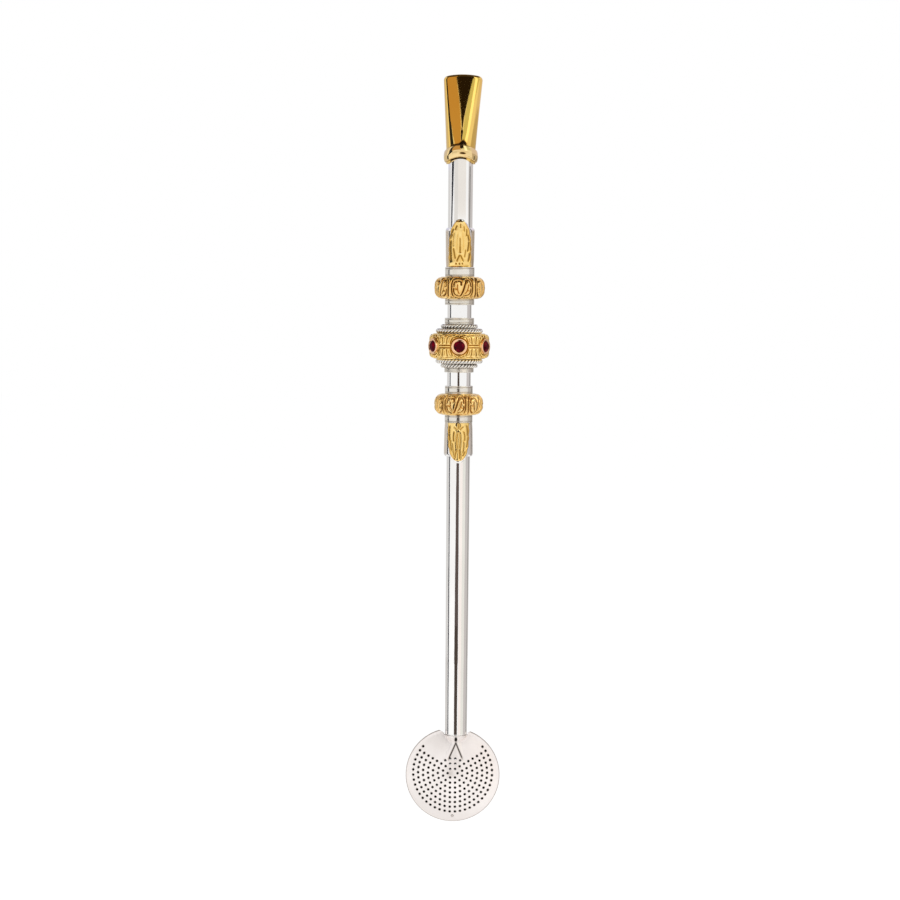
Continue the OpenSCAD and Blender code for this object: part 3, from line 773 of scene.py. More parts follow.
def makeBezels():
    # a cup with a rolled lip that leans over the stone's edge
    w = bezelWork
    reach = frontReach("bezels")
    top, foot = reach.max(), reach.min()
    outer, inner, bevel = w["outer"], w["inner"], w["bevel"]
    band, cup = top - w["lip"], top - w["cup"]
    a = np.linspace(0, np.pi, w["lipPoints"])
    lipR = (outer + inner - w["grip"]) / 2 + (outer - inner + w["grip"]) / 2 * np.cos(a)
    lipHigh = band + w["lip"] * (w["lipRise"] + w["lipRound"] * np.sin(a)) + w["lipLean"] * np.cos(a)
    wall = [(outer, foot + bevel), (outer, band)]
    inside = [(inner, band), (inner, cup), (w["hole"], cup), (w["hole"], foot), (outer - bevel, foot)]
    ring = turned(np.concatenate([wall, np.stack([lipR, lipHigh], -1), inside]), w["sides"])
    rows, columns = ring.shape[:2]
    faces = repeated(gridQuads(rows, columns), stoneCount, rows * columns)
    fit(putMesh("stoneBezels", aroundBand(ring), faces, roseGilt, weld=True), "stem", "gilt", "bezels")


stoneWork = {
    "r": 1.82, "girdle": 1.0, "crown": 0.5, "table": 1.05, "bevelIn": 0.05, "bevelDown": 0.12, "round": 16,
    "paintedGlintStep": 2.4, "tablePaintedGlint": 0.25,
}


def makeStones():
    # sixteen points round the girdle, eight round the table, joined by flat facets, each with its own
    # painted glint
    w = stoneWork
    top, many, few = frontReach("stones").max(), w["round"], w["round"] // 2
    crown = top - w["crown"]
    rims = (
        (many, w["r"], crown - w["girdle"]), (many, w["r"], crown - w["bevelDown"]),
        (many, w["r"] - w["bevelIn"], crown), (few, w["table"], top),
    )
    local = np.concatenate([around(r, turns(sides), out) for sides, r, out in rims])
    walls = np.roll(gridQuads(3, many, False)[:, ::-1], 1, 1).tolist()
    k, edge, table = np.arange(few), 2 * many, 3 * many
    left, mid, right = edge + 2 * k, edge + 2 * k + 1, edge + (2 * k + 2) % many
    here, after = table + k, table + (k + 1) % few
    facets = ((left, mid, here), (mid, after, here), (mid, right, after))
    fans = np.concatenate([np.stack(corners, -1) for corners in facets]).tolist()
    one = walls + fans + [list(range(table, table + few)), list(range(many - 1, -1, -1))]
    faces = [[i + s * len(local) for i in face] for s in range(stoneCount) for face in one]
    piece = putMesh("garnetStones", aroundBand(local), faces, garnet, smooth=False)
    tone = 0.5 + 0.5 * np.sin(np.arange(len(one)) * w["paintedGlintStep"])
    tone[-2] = w["tablePaintedGlint"]
    setLayer(piece.data, "paintedGlint", "FACE", np.tile(tone, stoneCount))
    fit(piece, "stem", "garnet", "stones")


makeBand()
makeBezels()
makeStones()
print("bead made")


# twisted wires: two strands wind round each other while the pair goes round the axis
ropeWork = {
    "orbit": 0.24, "strand": 0.258, "perTurn": 24, "round": 14, "tarnish": 0.9, "shadeEdge": (-0.8, 0.15),
    "winds": {"large": 20, "small": 16},
}


def makeRope(end, size):
    w = ropeWork
    node = f"bead_{end}_{size}_rope"
    reach, height = solidReach(node)
    low, high = height.min(), height.max()
    wire, winds = high - low, w["winds"][size]
    steps = winds * w["perTurn"]
    turn, a = turns(steps), turns(w["round"])[None, :, None]
    outward = around(1, turn, 0)
    middle = outward * (reach.max() - wire / 2) + (0, 0, (low + high) / 2)
    strands = []
    for phase in (0, np.pi):
        wind = (winds * turn + phase)[:, None]
        side = outward * np.cos(wind) + np.sin(wind) * (0, 0, 1)
        path = middle + side * w["orbit"] * wire
        along = np.roll(path, -1, 0) - np.roll(path, 1, 0)
        along /= np.linalg.norm(along, axis=1)[:, None]
        skin = side[:, None] * np.cos(a) + np.cross(side, along)[:, None] * np.sin(a)
        strands.append(path[:, None] + w["strand"] * wire * skin)
    # painted shade, with tarnish, on the inner side of each strand where the strands lie against each other
    shade = w["tarnish"] * softStep(-np.cos(a[..., 0]), *w["shadeEdge"])
    hollow = np.broadcast_to(shade, (2 * steps, w["round"]))
    faces = repeated(gridQuads(steps, w["round"]), 2, steps * w["round"])
    piece = putMesh(joined(node) + "Twist", np.concatenate(strands), faces, softSilver, hollow)
    fit(piece, "stem", "silver", node)


for ropeEnd in ("top", "bottom"):
    for ropeSize in ropeWork["winds"]:
        makeRope(ropeEnd, ropeSize)
print("twisted wires made")


# leaf sleeves: a silver sleeve with two scalloped points, front and back, and a gilt leaf laid on each
upperLeaf = [
    (0, 4.5, 0, 5.6, 0, 7.2, 0.27, 1),
    (0, 5.2, 0, 7.4, -0.05, 10.3, 0.18, 1),
    (-1.6, 1.3, -1.3, 1, -0.9, 1.2, 0.22, 1),
    (-0.5, 1.3, -0.15, 1, 0.2, 1.2, 0.24, 1),
    (0.5, 1.2, 0.8, 1, 1.1, 1.3, 0.22, 1),
    (-3.7, 0.3, 0, 0.2, 3.7, 0.3, 0.15, 0.9),
    (-1.5, 2.4, -1.9, 4.4, -2.3, 6.8, 0.26, 1),
    (-2.8, 1.4, -3.5, 5, -3, 9.9, 0.34, 1),
    (-3.3, 9, -3, 11.2, -2.1, 13.2, 0.24, 0.95),
    (-2.3, 10.9, -2.9, 10.2, -3.5, 10.7, 0.2, 0.95),
    (-2.2, 6.2, -2.6, 9, -1.8, 12.4, 0.18, 0.72),
    (1.4, 2.8, 1.7, 4.2, 1.9, 6.2, 0.22, 0.85),
    (2.6, 1.5, 3.2, 3, 3.3, 5, 0.28, 1),
    (2.4, 4.6, 2.9, 6.6, 3, 8.9, 0.26, 1),
    (3.05, 8.3, 2.9, 9.6, 2.4, 11, 0.25, 1),
    (3.5, 5, 3.6, 6.8, 3.4, 9, 0.18, 0.85),
    (1.9, 9.8, 2.4, 11.2, 2.1, 12.9, 0.22, 0.92),
    (-1.7, 12.1, -1.5, 13.1, -0.9, 14, 0.24, 0.95),
    (0.05, 12.9, 0.1, 13.7, 0.1, 14.5, 0.18, 0.9),
    (1.2, 11.5, 1.5, 12.7, 1.1, 13.8, 0.22, 0.85),
] + mirrored([
    (0, 4.2, 0.5, 3.2, 1.2, 1.7, 0.28, 1),
    (0.95, 5, 1.3, 8, 0.7, 12.2, 0.2, 0.6),
])
lowerLeaf = [
    (0.05, 0.1, 0, 1, 0.05, 2.1, 0.22, 1),
    (-1.5, 1.1, -0.9, 2, -0.1, 2.3, 0.18, 0.95),
    (0.15, 2.3, 1, 1.9, 1.6, 1, 0.18, 0.95),
    (-0.1, 2.6, -0.95, 6, -0.1, 9.2, 0.22, 1),
    (0.3, 2.8, 0.95, 6, 0.2, 9.2, 0.2, 0.95),
    (-0.1, 8.6, -1.2, 9.8, -1, 12.2, 0.22, 1),
    (0.15, 8.6, 0.6, 10.2, 0.4, 12.4, 0.26, 1),
    (-1.2, 2.4, -1.8, 4.4, -1.4, 6.6, 0.24, 0.92),
    (-2.9, 0.3, -3.4, 3.2, -2.8, 6.6, 0.27, 1),
    (-2.6, 5, -2.7, 7.4, -2.1, 9.8, 0.22, 0.95),
    (-1.9, 6, -1.9, 8.6, -1.2, 11.6, 0.18, 0.85),
    (2.6, 0.3, 3.3, 2.4, 3.1, 4.8, 0.28, 1),
    (1.4, 2.3, 2.5, 4.2, 1.9, 6.6, 0.22, 0.95),
    (3.3, 4.2, 3.2, 6.4, 2.6, 8.8, 0.2, 0.95),
    (1.6, 5.4, 2.1, 7.8, 1.2, 11, 0.18, 0.85),
    (1, 11.2, 1.9, 10.6, 2.4, 9, 0.2, 0.95),
]
leafWork = {
    "baseR": 4.65, "crownR": 4.85, "edge": 0.2, "crownHigh": 3.0, "shoulderPower": 0.8, "half": 3.9,
    "outerMargin": 0.45, "tipPower": 0.45, "pointPower": 0.25, "count": 2, "sides": 720, "outerLevels": 40,
    "innerLevels": 12, "levelPower": 0.45, "footBevel": 0.1, "edgeRound": 1.2, "edgeLip": 0.16,
    "sideFrom": 42, "sideTo": 60, "sideFade": 1.6,
    "lobes": 5, "lobeCut": 0.045, "across": 96, "down": 131, "rowPower": 0.85, "relief": 0.24,
    "rimHigh": 0.04, "tipFrom": 0.8, "tipRise": 0.6, "border": 0.08, "tipBorder": 0.03, "weight": 1.15,
    "taper": 0.2, "shade": 0.2, "edgeShade": 0.42, "edgeFade": (0.6, 0.95), "edgeFoot": (0.05, 0.2),
}
leafPlaces = {
    "upper": {"up": 1, "scallop": 2.8, "margin": 0.45, "sideShade": 0.42, "cutShade": 0.84,
              "strokes": upperLeaf},
    "lower": {"up": -1, "scallop": 2.1, "margin": 0.7, "sideShade": 0.3, "cutShade": 0.72,
              "strokes": lowerLeaf},
}


def sleeveR(y, high):
    # radius up a sleeve: a slight cone, then a round shoulder in to the tube
    w = leafWork
    tipR = stemTopR + w["edge"]
    low = high - w["crownHigh"]
    cone = w["baseR"] + (w["crownR"] - w["baseR"]) * np.clip(y / low, 0, 1)
    drop = np.clip((y - low) / w["crownHigh"], 0, 1)
    return np.where(y < low, cone, tipR + (w["crownR"] - tipR) * (1 - drop**2) ** w["shoulderPower"])


def sleeveSize(place, up):
    # height of a sleeve, and the level that it stands on or hangs from
    _, low, high = turnedSize(f"{place}_leaf_sleeve")
    return high - low, low if up > 0 else high


def makeSleeve(place, up, scallop, sideShade):
    # at each angle the wall goes up to the edge of the nearest point and back down inside
    w = leafWork
    tall, base = sleeveSize(place, up)
    turn, sector = turns(w["sides"])[:, None], fullTurn / w["count"]
    off = (turn + quarter + sector / 2) % sector - sector / 2
    part = np.clip(np.abs(w["crownR"] * np.sin(off)) / (w["half"] + w["outerMargin"]), 0, 1)
    point = tall * (1 - part ** (1 / w["tipPower"])) ** w["pointPower"]
    edge = np.maximum(point, tall - scallop)
    outer = edge * np.linspace(0, 1, w["outerLevels"]) ** w["levelPower"]
    inner = edge * np.linspace(1, 0, w["innerLevels"])
    r = sleeveR(outer, tall)
    r[:, 0] -= w["footBevel"]
    # the cut edge is rounded over, down to a thin lip on the tube
    bevel = 1 - np.sqrt(1 - np.clip(1 - (edge - outer) / w["edgeRound"], 0, 1) ** 2)
    r -= bevel * (r - stemR(base + up * outer) - w["edgeLip"])
    y = np.concatenate([outer, inner], 1)
    r = np.concatenate([r, stemR(base + up * inner) + seam], 1)
    # painted shade on the sleeve's left and right sides, away from the points, fading out at the cut edge
    side = softStep(np.degrees(np.abs(off)), w["sideFrom"], w["sideTo"])
    hollow = sideShade * side * softStep(edge - y, 0, w["sideFade"])
    piece = putGrid(f"{place}Sleeve", around(r, turn, base + up * y), sleeveSilver, hollow, flip=up < 0)
    fit(piece, "stem", "silver", f"{place}_leaf_sleeve")


def makeLeaves(place, up, margin, strokes, cutShade):
    # heights on a flat grid bent round the sleeve, and a plain back just off it
    w = leafWork
    tall, base = sleeveSize(place, up)
    t = np.append(0, np.linspace(0, 1, w["down"] - 1) ** w["rowPower"])[None]
    u = np.linspace(-1, 1, w["across"])[:, None]
    lobe = 1 - w["lobeCut"] * (1 - np.cos(fullTurn * w["lobes"] * t)) / 2
    half = (w["half"] + w["outerMargin"] - margin) * (1 - t**4) ** w["tipPower"] * lobe
    x, y = np.broadcast_arrays(u * half, t * (tall - margin))
    height = chased(x, y, {**w, "strokes": strokes})
    border = softStep(1 - np.abs(u), 0, w["border"]) * softStep(1 - t, 0, w["tipBorder"])
    raised = w["relief"] * (1 + w["tipRise"] * softStep(t, w["tipFrom"], 1))
    relief = w["rimHigh"] + raised * (1 + height) * border
    relief[:, [0, -1]] = 0
    back = sleeveR(y, tall) + seam
    # painted shade along the leaf's side edges, above its foot
    paintedEdgeShade = w["edgeShade"] * softStep(np.abs(u), *w["edgeFade"]) * softStep(t, *w["edgeFoot"])
    hollow = np.maximum(cutShade * tarnish(height, w["shade"]) * border, paintedEdgeShade)
    r = np.concatenate([back + relief, back[::-1]])
    bend = np.arcsin(np.clip(np.concatenate([x, x[::-1]]) / r, -1, 1))
    turn = turns(w["count"])[:, None, None] - quarter + bend
    leaves = around(r, turn, base + up * np.concatenate([y, y[::-1]]))
    hollow = np.tile(np.concatenate([hollow, 0 * hollow]).ravel(), w["count"])
    rows = 2 * w["across"]
    faces = repeated(gridQuads(rows, w["down"], True, False), w["count"], rows * w["down"])
    piece = putMesh(f"{place}GiltLeaves", leaves, faces, leafGilt, hollow, weld=True)
    fit(piece, "stem", "gilt", f"{place}_leaves")


for place, leaf in leafPlaces.items():
    makeSleeve(place, leaf["up"], leaf["scallop"], leaf["sideShade"])
    makeLeaves(place, leaf["up"], leaf["margin"], leaf["strokes"], leaf["cutShade"])
print("leaf sleeves made")


# strainer: two pressed shells, worked out as heights over the disc and then notched and drilled
strainerWork = {
    "domeHigh": 2.5, "sheet": 0.45, "rimWide": 1.0, "edgeRound": 0.12, "edgeIn": 0.03,
    "edgeDown": (0.04, 0.14), "seam": 0.015, "cavityGap": 0.07, "rimFillet": 0.1, "blend": 0.22,
    "neckTop": -0.3, "neckFoot": -1.0, "tipZ": -3.6, "tipR": 1.45,
    "fanTop": -2.8, "fanFoot": -10.2, "fanTopR": 2.06, "fanFootR": 2.3, "fanFootHalf": 3.2,
    "creaseTop": (0.0, -2.9), "creaseFoot": ((-2.75, -9.2), (2.55, -9.0)), "creaseWide": 0.3,
    "creaseDeep": 0.25, "creaseFade": 0.25, "notchHalf": 3.975, "notchWall": 0.5, "notchSlope": 60,
    "notchRise": 3.4, "holeR": 0.4, "holePitch": 1.66, "holeRise": 0.9, "backDrop": 0.4, "holeRings": 8,
    "plainAngle": 48, "wholeRings": 3, "perStep": 6, "rimClear": 1.5, "rivetRise": 1.95, "rivetHoleR": 0.48,
    "drillSides": 24, "drillHalf": 6.0, "over": 112, "under": 84, "neckFrom": 52, "neckTo": 128,
    "neckSteps": 190, "restSteps": 161, "sharp": 32,
}
shellLow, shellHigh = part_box("strainer_front")
discX, discR = (shellLow.x + shellHigh.x) / 2 / mm, (shellHigh.x - shellLow.x) / 2 / mm
neckR = -shellLow.y / mm


def rootOf(value):
    return np.sqrt(np.clip(value, 0, None))


def blendedMax(a, b, reach):
    # the larger of two heights, with a fillet where they meet
    near = np.clip(reach - np.abs(a - b), 0, None) / reach
    return np.maximum(a, b) + near**2 * reach / 4


def domeHeight(x, z, inset):
    # a ball's cap over the disc, drawn in by the inset
    w = strainerWork
    capR, rise = discR - w["rimWide"], w["domeHigh"] - w["sheet"]
    ballR = (capR**2 + rise**2) / (2 * rise)
    away = (x - discX) ** 2 + (z - discR) ** 2
    return rootOf((ballR - inset) ** 2 - away) - (ballR - w["domeHigh"])


def neckHeight(x, z, inset):
    # half a round collar under the tube's end, then half a cone in to its point
    w = strainerWork
    up = z - stemFoot
    r = np.interp(up, [w["tipZ"], w["neckFoot"]], [w["tipR"], neckR]) - inset
    return rootOf(r**2 - x**2) * (up > w["tipZ"])


def fanHeight(x, z, inset):
    # a flat tongue with round sides that widens downward
    w = strainerWork
    up = z - stemFoot
    t = np.clip((w["fanTop"] - up) / (w["fanTop"] - w["fanFoot"]), 0, 1)
    side = np.clip(np.abs(x - t * discX) - t * w["fanFootHalf"], 0, None)
    r = w["fanTopR"] + t * (w["fanFootR"] - w["fanTopR"]) - inset
    return rootOf(r**2 - side**2) * ((up < w["fanTop"]) & (up > w["fanFoot"]))


def creaseDepth(x, z):
    # 1 along the two lines that part the fan from the dome
    w = strainerWork
    depth = np.zeros_like(x)
    for foot in w["creaseFoot"]:
        top = np.array(w["creaseTop"])
        away, along = nearest(x, z - stemFoot, curvePath((top, (top + foot) / 2, foot)))
        depth = np.maximum(depth, bell(away, w["creaseWide"]) * softStep(1 - along, 0, w["creaseFade"]))
    return depth


def shellHeight(x, z, inset):
    w = strainerWork
    dome = domeHeight(x, z, inset)
    raised = np.maximum(neckHeight(x, z, inset), fanHeight(x, z, inset))
    high = blendedMax(dome, raised, w["blend"])
    if inset:
        return np.maximum(high, w["seam"])
    creased = high - w["creaseDeep"] * creaseDepth(x, z)
    return blendedMax(creased, np.full_like(high, w["sheet"]), w["rimFillet"])


def holeCentres(shift, rise):
    # rings about a point just above the disc's centre; past the inner ones the tube's sector is plain
    w = strainerWork
    steps = np.arange(1, w["holeRings"] + 1) - shift
    counts = np.round(w["perStep"] * steps).astype(int)
    ring = np.repeat(steps, counts)
    first = np.repeat(np.cumsum(counts) - counts, counts)
    turn = (np.arange(len(ring)) - first + 0.5) * fullTurn / (w["perStep"] * ring)
    x, z = ring * w["holePitch"] * np.sin(turn), ring * w["holePitch"] * np.cos(turn) + rise
    fromTop = np.abs((turn + np.pi) % fullTurn - np.pi)
    kept = (ring <= w["wholeRings"]) | (fromTop > math.radians(w["plainAngle"]))
    kept &= np.hypot(x, z) + w["rimClear"] * w["holeR"] < discR - w["rimWide"]
    return np.stack([x[kept] + discX, z[kept] + discR], -1)


def drills(holes):
    # round cutters along Y for the holes and the rivet, and the notch that lets the tube's end in
    w = strainerWork
    centres = np.concatenate([holes, [(discX, w["rivetRise"])]])
    radii = np.append(np.full(len(holes), w["holeR"]), w["rivetHoleR"])
    a = turns(w["drillSides"])
    rim = centres[:, None] + radii[:, None, None] * np.stack([np.cos(a), np.sin(a)], -1)
    half, wall, rise = w["notchHalf"], w["notchWall"], w["notchRise"]
    wide = half + (rise - wall) * math.tan(math.radians(w["notchSlope"]))
    notch = np.array([(-half, 0), (half, 0), (half, wall), (wide, rise), (-wide, rise), (-half, wall)])
    points, faces, count = [], [], 0
    for outline in [*rim, notch + (0, stemFoot + w["neckTop"])]:
        n = len(outline)
        k = np.arange(n)
        points += [np.insert(outline, 1, y, 1) for y in (-w["drillHalf"], w["drillHalf"])]
        faces += (count + np.stack([k, n + k, n + (k + 1) % n, (k + 1) % n], -1)).tolist()
        faces += [(count + k).tolist(), (count + n + k[::-1]).tolist()]
        count += 2 * n
    return putMesh("shellDrills", np.concatenate(points), faces, satinSilver, smooth=False, weld=True)


def shellBlank(side):
    # rings out over the dome, round the rim and back in under it, with finer steps in the neck's sector
    w = strainerWork
    neck = np.linspace(w["neckFrom"], w["neckTo"], w["neckSteps"])
    rest = np.linspace(w["neckTo"], w["neckFrom"] + 360, w["restSteps"])[1:-1]
    turn = np.radians(np.concatenate([neck, rest]))[None]
    over = np.linspace(0, discR - w["edgeRound"], w["over"])[:, None]
    under = np.linspace(discR - w["rimWide"] - w["cavityGap"], 0, w["under"])[:, None]
    edge = np.array([[discR - w["edgeIn"]], [discR], [discR]])
    r = np.concatenate([over, edge, under])
    x, z = discX + r * np.cos(turn), discR + r * np.sin(turn)
    edgeHigh = [w["sheet"] - down for down in w["edgeDown"]] + [w["seam"]]
    top = shellHeight(x[:len(over)], z[:len(over)], 0)
    middle = np.broadcast_to(np.array(edgeHigh)[:, None], (len(edge), turn.shape[1]))
    foot = shellHeight(x[-len(under):], z[-len(under):], w["sheet"])
    points = np.stack([x, side * np.concatenate([top, middle, foot]), z], -1)
    return putMesh("shellBlank", points, gridQuads(*x.shape, False), satinSilver, weld=True)


paintedDiscShadeWork = {
    "wedgeFoot": -17.5, "wedgeHalf": 5.0, "wedgeLean": -1.2, "wedgeSide": (-0.5, 1.0),
    "wedgeTop": (0.02, 0.1), "wedgeFade": 0.5, "wedgeShade": 0.17, "spotX": -0.8, "spotZ": 0.9,
    "spotR": 1.5, "spotShade": 0.36,
    "footLean": 0.35, "footFrom": (5, 15), "footShade": 0.13, "wallSlope": 0.3, "insideSlope": -0.15,
    "neckClear": 0.4, "neckLow": 4, "edgeShade": 0.62, "edgeWide": 0.36, "edgeIn": 0.05, "holeRimShade": 0.6,
    "holeRimShadeFrom": 0.02, "holeRimShadeWide": 0.1, "paintedSpotZ": -1.5, "paintedSpotWide": 0.6, "paintedSpotTall": 1.05,
    "paintedSpotEdge": (0.6, 1.1),
}


def paintedDiscShade(x, z):
    # painted shade: a wedge that opens from the neck's point and fades downward, a spot in the middle, and
    # the disc's foot
    w = paintedDiscShadeWork
    up, wedgeTop = z - stemFoot, strainerWork["creaseTop"][1]
    t = np.clip((wedgeTop - up) / (wedgeTop - w["wedgeFoot"]), 0, 1)
    fromSide = t * w["wedgeHalf"] - np.abs(x - t * w["wedgeLean"])
    wedge = softStep(fromSide, *w["wedgeSide"]) * softStep(t, *w["wedgeTop"])
    wedge = wedge * softStep(1 - t, 0, w["wedgeFade"])
    spot = bell(np.hypot(x - discX - w["spotX"], z - discR - w["spotZ"]), w["spotR"])
    foot = softStep(w["footLean"] * (discX - x) + discR - z, *w["footFrom"])
    return np.maximum.reduce([w["wedgeShade"] * wedge, w["spotShade"] * spot, w["footShade"] * foot])


def shellDepth(mesh, side, holes):
    # by face corner, all painted shade: dark inside and down the holes, a grey line round the edge, dark
    # in the creases, on parts of the disc, round each hole and under the tube's end
    w, s = paintedDiscShadeWork, strainerWork
    outward = readAll(mesh.polygons, "normal")[:, 1] * side
    x, _, z = readAll(mesh.polygons, "center").T / mm
    onDome = np.hypot(x - discX, z - discR) < discR - s["rimWide"]
    onNeck = (np.abs(x) < neckR + w["neckClear"]) & (z - stemFoot > s["fanFoot"] + w["neckLow"])
    drilled = (np.abs(outward) < w["wallSlope"]) & onDome & ~onNeck
    # painted shade: dark inside the shells and down the walls of the holes
    face = np.where((outward < w["insideSlope"]) | drilled, 1.0, 0.0)
    x, _, z = readAll(mesh.vertices, "co").T / mm
    # painted shade: a grey line round the disc's edge
    rim = softStep(np.hypot(x - discX, z - discR), discR - w["edgeWide"], discR - w["edgeIn"])
    # painted shade: a dark spot under the tube's end
    under = np.hypot(x / w["paintedSpotWide"], (z - stemFoot - w["paintedSpotZ"]) / w["paintedSpotTall"])
    # painted shade in a thin ring round each hole
    nearHole = np.hypot(x[:, None] - holes[:, 0], z[:, None] - holes[:, 1]).min(1) - s["holeR"]
    # painted shade along the creases, taken together with the painted shade above
    shade = np.maximum.reduce([
        creaseDepth(x, z), w["edgeShade"] * rim, paintedDiscShade(x, z), 1 - softStep(under, *w["paintedSpotEdge"]),
        w["holeRimShade"] * (1 - softStep(nearHole, w["holeRimShadeFrom"], w["holeRimShadeWide"])),
    ])
    sizes = readAll(mesh.polygons, "loop_total", 1, np.int32)[:, 0]
    points = readAll(mesh.loops, "vertex_index", 1, np.int32)[:, 0]
    return np.maximum(np.repeat(face, sizes), shade[points])


def makeShell(node, side, shift, rise):
    holes = holeCentres(shift, rise)
    blank, cutter = shellBlank(side), drills(holes)
    cut = blank.modifiers.new("drilled", "BOOLEAN")
    cut.operation, cut.solver, cut.object = "DIFFERENCE", "MANIFOLD", cutter
    shell = bpy.data.meshes.new_from_object(blank.evaluated_get(bpy.context.evaluated_depsgraph_get()))
    bpy.data.objects.remove(cutter)
    bpy.data.objects.remove(blank)
    shadeSmooth(shell, strainerWork["sharp"])
    setLayer(shell, "hollow", "CORNER", shellDepth(shell, side, holes))
    fit(linked(joined(node) + "Shell", shell), "strainer", "satin_silver", node)
    print(node, len(shell.polygons), "faces")


rivetWork = {"dome": 0.05, "levels": 10, "poleR": 0.0005, "sides": 48, "edgeShade": 0.75, "topShade": 0.4,
             "shadeFrom": (0.6, 0.9)}


def makeRivet():
    # a pin along Y with slightly domed ends
    w = rivetWork
    points = solidPoints("strainer_rivet")
    low, high = points.min(0), points.max(0)
    mid, r, half = (low + high) / 2, (high[0] - low[0]) / 2, (high[1] - low[1]) / 2
    a = np.linspace(0, quarter, w["levels"])
    dome = np.stack([r * np.cos(a), half - w["dome"] * (1 - np.sin(a))], -1)
    dome[-1, 0] = w["poleR"]
    outline = np.concatenate([dome[::-1] * (1, -1), dome])
    ring = turned(outline, w["sides"])
    pin = np.stack([ring[..., 0], -ring[..., 2], ring[..., 1]], -1) + mid
    shade = np.interp(outline[:, 0] / r, w["shadeFrom"], [w["topShade"], w["edgeShade"]])
    piece = putGrid("strainerRivetPin", pin, satinSilver, np.broadcast_to(shade, pin.shape[:2]))
    fit(piece, "strainer", "silver", "strainer_rivet")


# the back's rings of holes stand between the front's
makeShell("strainer_front", -1, 0, strainerWork["holeRise"])
makeShell("strainer_back", 1, 0.5, strainerWork["holeRise"] - strainerWork["backDrop"])
makeRivet()
print("strainer made")


# stage: a pale floor below the drawn strainer, soft lamps, and cards that only reflections see
stageWork = {
    "floorZ": -30, "floorHalf": 4.0, "floorTone": (0.5, 0.5, 0.5), "floorRough": 0.9,
    "floorGlow": (0.3, 0.7), "worldGlow": (0.6, 1.0), "white": (1, 1, 1), "lampAimZ": 0.13, "cardPoints": 9,
}


def seenRays(tree):
    # 1 for what the camera, a reflection or a refraction sees
    path = added(tree, "LightPath", {})
    total = path["Is Camera Ray"]
    for ray in ("Is Glossy Ray", "Is Transmission Ray"):
        total = computed(tree, "MAXIMUM", total, path[ray])
    return total


def makeWorld():
    world = bpy.data.worlds.new("paleRoom")
    bpy.context.scene.world = world
    world.use_nodes = True
    tree = world.node_tree
    glow = ranged(tree, seenRays(tree), 0, 1, *stageWork["worldGlow"])
    feed(tree, tree.nodes["Background"], {"Color": stageWork["white"], "Strength": glow})


def makeFloor():
    # white to the eye, with a share of plain diffuse that keeps the shadow
    finish, tree, shader = newFinish("paleFloor")
    feed(tree, shader, {
        "Base Color": stageWork["floorTone"], "Roughness": stageWork["floorRough"], "Specular IOR Level": 0,
        "Emission Color": stageWork["white"],
        "Emission Strength": ranged(tree, seenRays(tree), 0, 1, *stageWork["floorGlow"]),
    })
    half, z = stageWork["floorHalf"] / mm, stageWork["floorZ"]
    corners = np.array([(-half, -half, z), (half, -half, z), (half, half, z), (-half, half, z)], float)
    floor = putMesh("paleFloor", corners, [[0, 1, 2, 3]], finish, smooth=False)


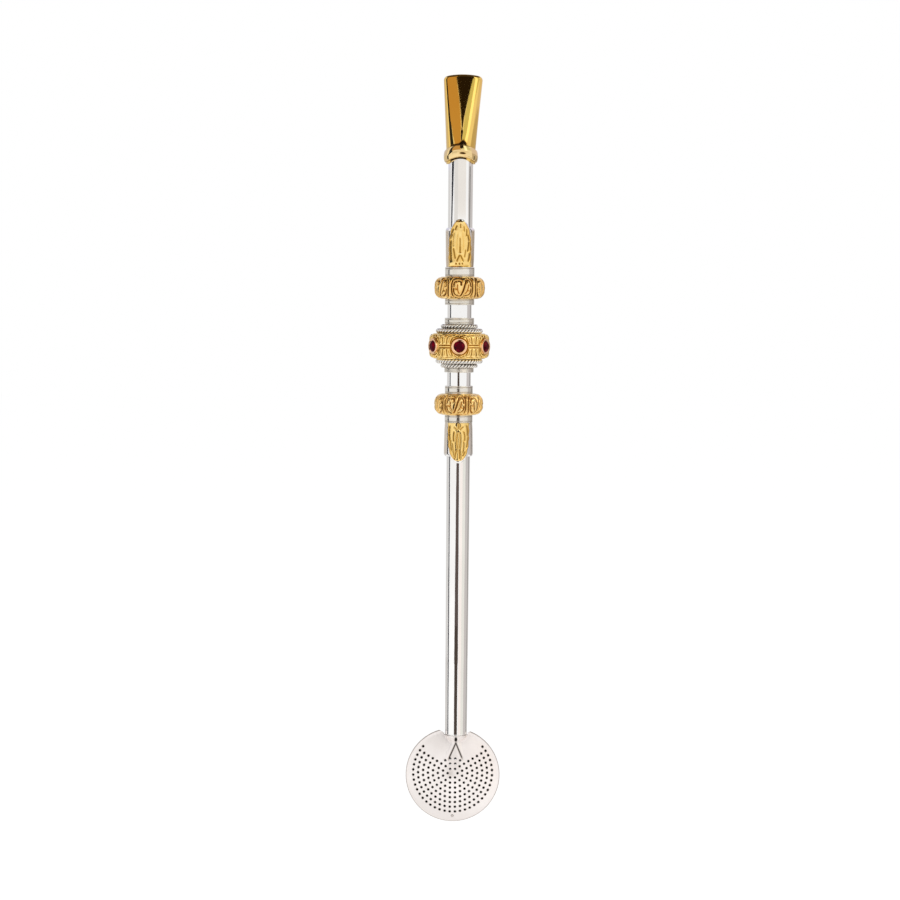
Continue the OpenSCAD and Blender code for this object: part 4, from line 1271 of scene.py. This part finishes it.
# each card: azimuths of its two edges, at the foot and again at the top where they differ, its distance,
# the heights of its foot and top, and its tone
brown, ink, warm = (0.02, 0.013, 0.008), (0.03, 0.032, 0.042), (0.62, 0.4, 0.17)
streak, pale, shadow = (0.075, 0.055, 0.045), (0.72, 0.76, 0.55), (0.6, 0.565, 0.55)
cards = {
    "frontFoot": ((-17, 8), 8, 28.8, 66, streak),
    "frontLow": ((-24, 13, -17, 8), 45, 48, 119, (0.11, 0.083, 0.074)),
    "frontMid": ((-17, 8, -12.5, 4.5), 45, 119, 152, streak),
    "frontHigh": ((1, 2, -9, 21), 150, 264, 288, brown),
    "frontTop": ((-9, 21, -9, 27), 150, 288, 420, brown),
    "warmHigh": ((-66, 4, -66, -9), 151, 250, 288, warm),
    "warmTop": ((-66, -9), 151, 288, 420, warm),
    "paleHigh": ((3, 75, 17, 75), 152, 258, 288, pale),
    "paleTop": ((17, 75), 152, 288, 420, pale),
    "strip": ((26, 44), 145, 240, 420, (1.5, 1.5, 1.4)),
    "cream": ((18, 46), 260, -60, 120, (1.03, 0.95, 0.905)),
    "creamGrey": ((46, 79), 260, -60, 120, (0.86, 0.85, 0.795)),
    "left": ((-103, -88), 300, -30, 204, ink),
    "leftTube": ((-98, -83, -88, -59), 300, 204, 242, ink),
    "leftHigh": ((-88, -59), 300, 242, 520, ink),
    "greyHigh": ((-60, -24), 300, 190, 245, (0.8, 0.775, 0.74)),
    "creamHigh": ((-24, 52), 300, 209, 245, (0.89, 0.85, 0.8)),
    "right": ((122, 140), 300, -30, 195, (0.3, 0.29, 0.28)),
    "rightHigh": ((87, 100), 30, 198, 221, (0.2, 0.2, 0.19)),
    "rightSide": ((79, 180), 310, -60, 238, shadow),
    "rightSideHigh": ((79, 180), 310, 238, 420, (0.82, 0.78, 0.88)),
    "leftSide": ((-180, -106), 310, -60, 232, (0.72, 0.71, 0.7)),
    "rightFoot": ((79, 122), 100, -29.5, 42, shadow),
    "rearFoot": ((140, 254), 100, -29.5, 42, (0.66, 0.64, 0.625)),
    "leftSideHigh": ((-180, -106), 310, 232, 420, (0.72, 0.73, 0.86)),
}
ceiling = {"half": 290, "z": 520, "tone": (0.07, 0.055, 0.045)}


def reflected(name, corners, tone):
    # a plain glowing sheet that only reflections see, from two rows of points
    finish, tree, shader = newFinish(name)
    tree.nodes.remove(shader)
    glow = added(tree, "Emission", {"Color": tone})["Emission"]
    feed(tree, tree.nodes["Material Output"], {"Surface": glow})
    card = putMesh(name, corners, gridQuads(*corners.shape[:2], False, False), finish, smooth=False)
    card.visible_camera = False
    card.visible_diffuse = False
    card.visible_shadow = False


def makeCards():
    for name, (edges, distance, low, high, tone) in cards.items():
        rows = np.resize(edges, (2, 2))
        turn = np.radians([np.linspace(*row, stageWork["cardPoints"]) for row in rows])
        reflected(name + "Card", around(distance, turn - quarter, [[low], [high]]), tone)
    half, z = ceiling["half"], ceiling["z"]
    sheet = [[(-half, -half, z), (half, -half, z)], [(-half, half, z), (half, half, z)]]
    reflected("ceilingCard", np.array(sheet, float), ceiling["tone"])


lamps = {
    "keyLamp": {"azimuth": 48, "elevation": 38, "distance": 0.8, "size": 0.45, "watts": 0.9,
                "colour": (1, 0.98, 0.95), "inGloss": True},
    "fillLamp": {"azimuth": -52, "elevation": 28, "distance": 0.9, "size": 0.55, "watts": 1.2,
                 "colour": (0.97, 0.98, 1), "inGloss": False},
}


def makeLamps():
    for name, look in lamps.items():
        data = bpy.data.lights.new(name, "AREA")
        data.size = look["size"]
        data.energy = look["watts"]
        data.color = look["colour"]
        lamp = linked(name, data)
        turn, lift = math.radians(look["azimuth"]), math.radians(look["elevation"])
        back = Vector((math.sin(turn) * math.cos(lift), -math.cos(turn) * math.cos(lift), math.sin(lift)))
        lamp.location = Vector((0, 0, stageWork["lampAimZ"])) + back * look["distance"]
        lamp.rotation_euler = (-back).to_track_quat("-Z", "Y").to_euler()
        lamp.visible_camera = False
        lamp.visible_glossy = look["inGloss"]


makeWorld()
makeFloor()
makeCards()
makeLamps()
print("stage set")
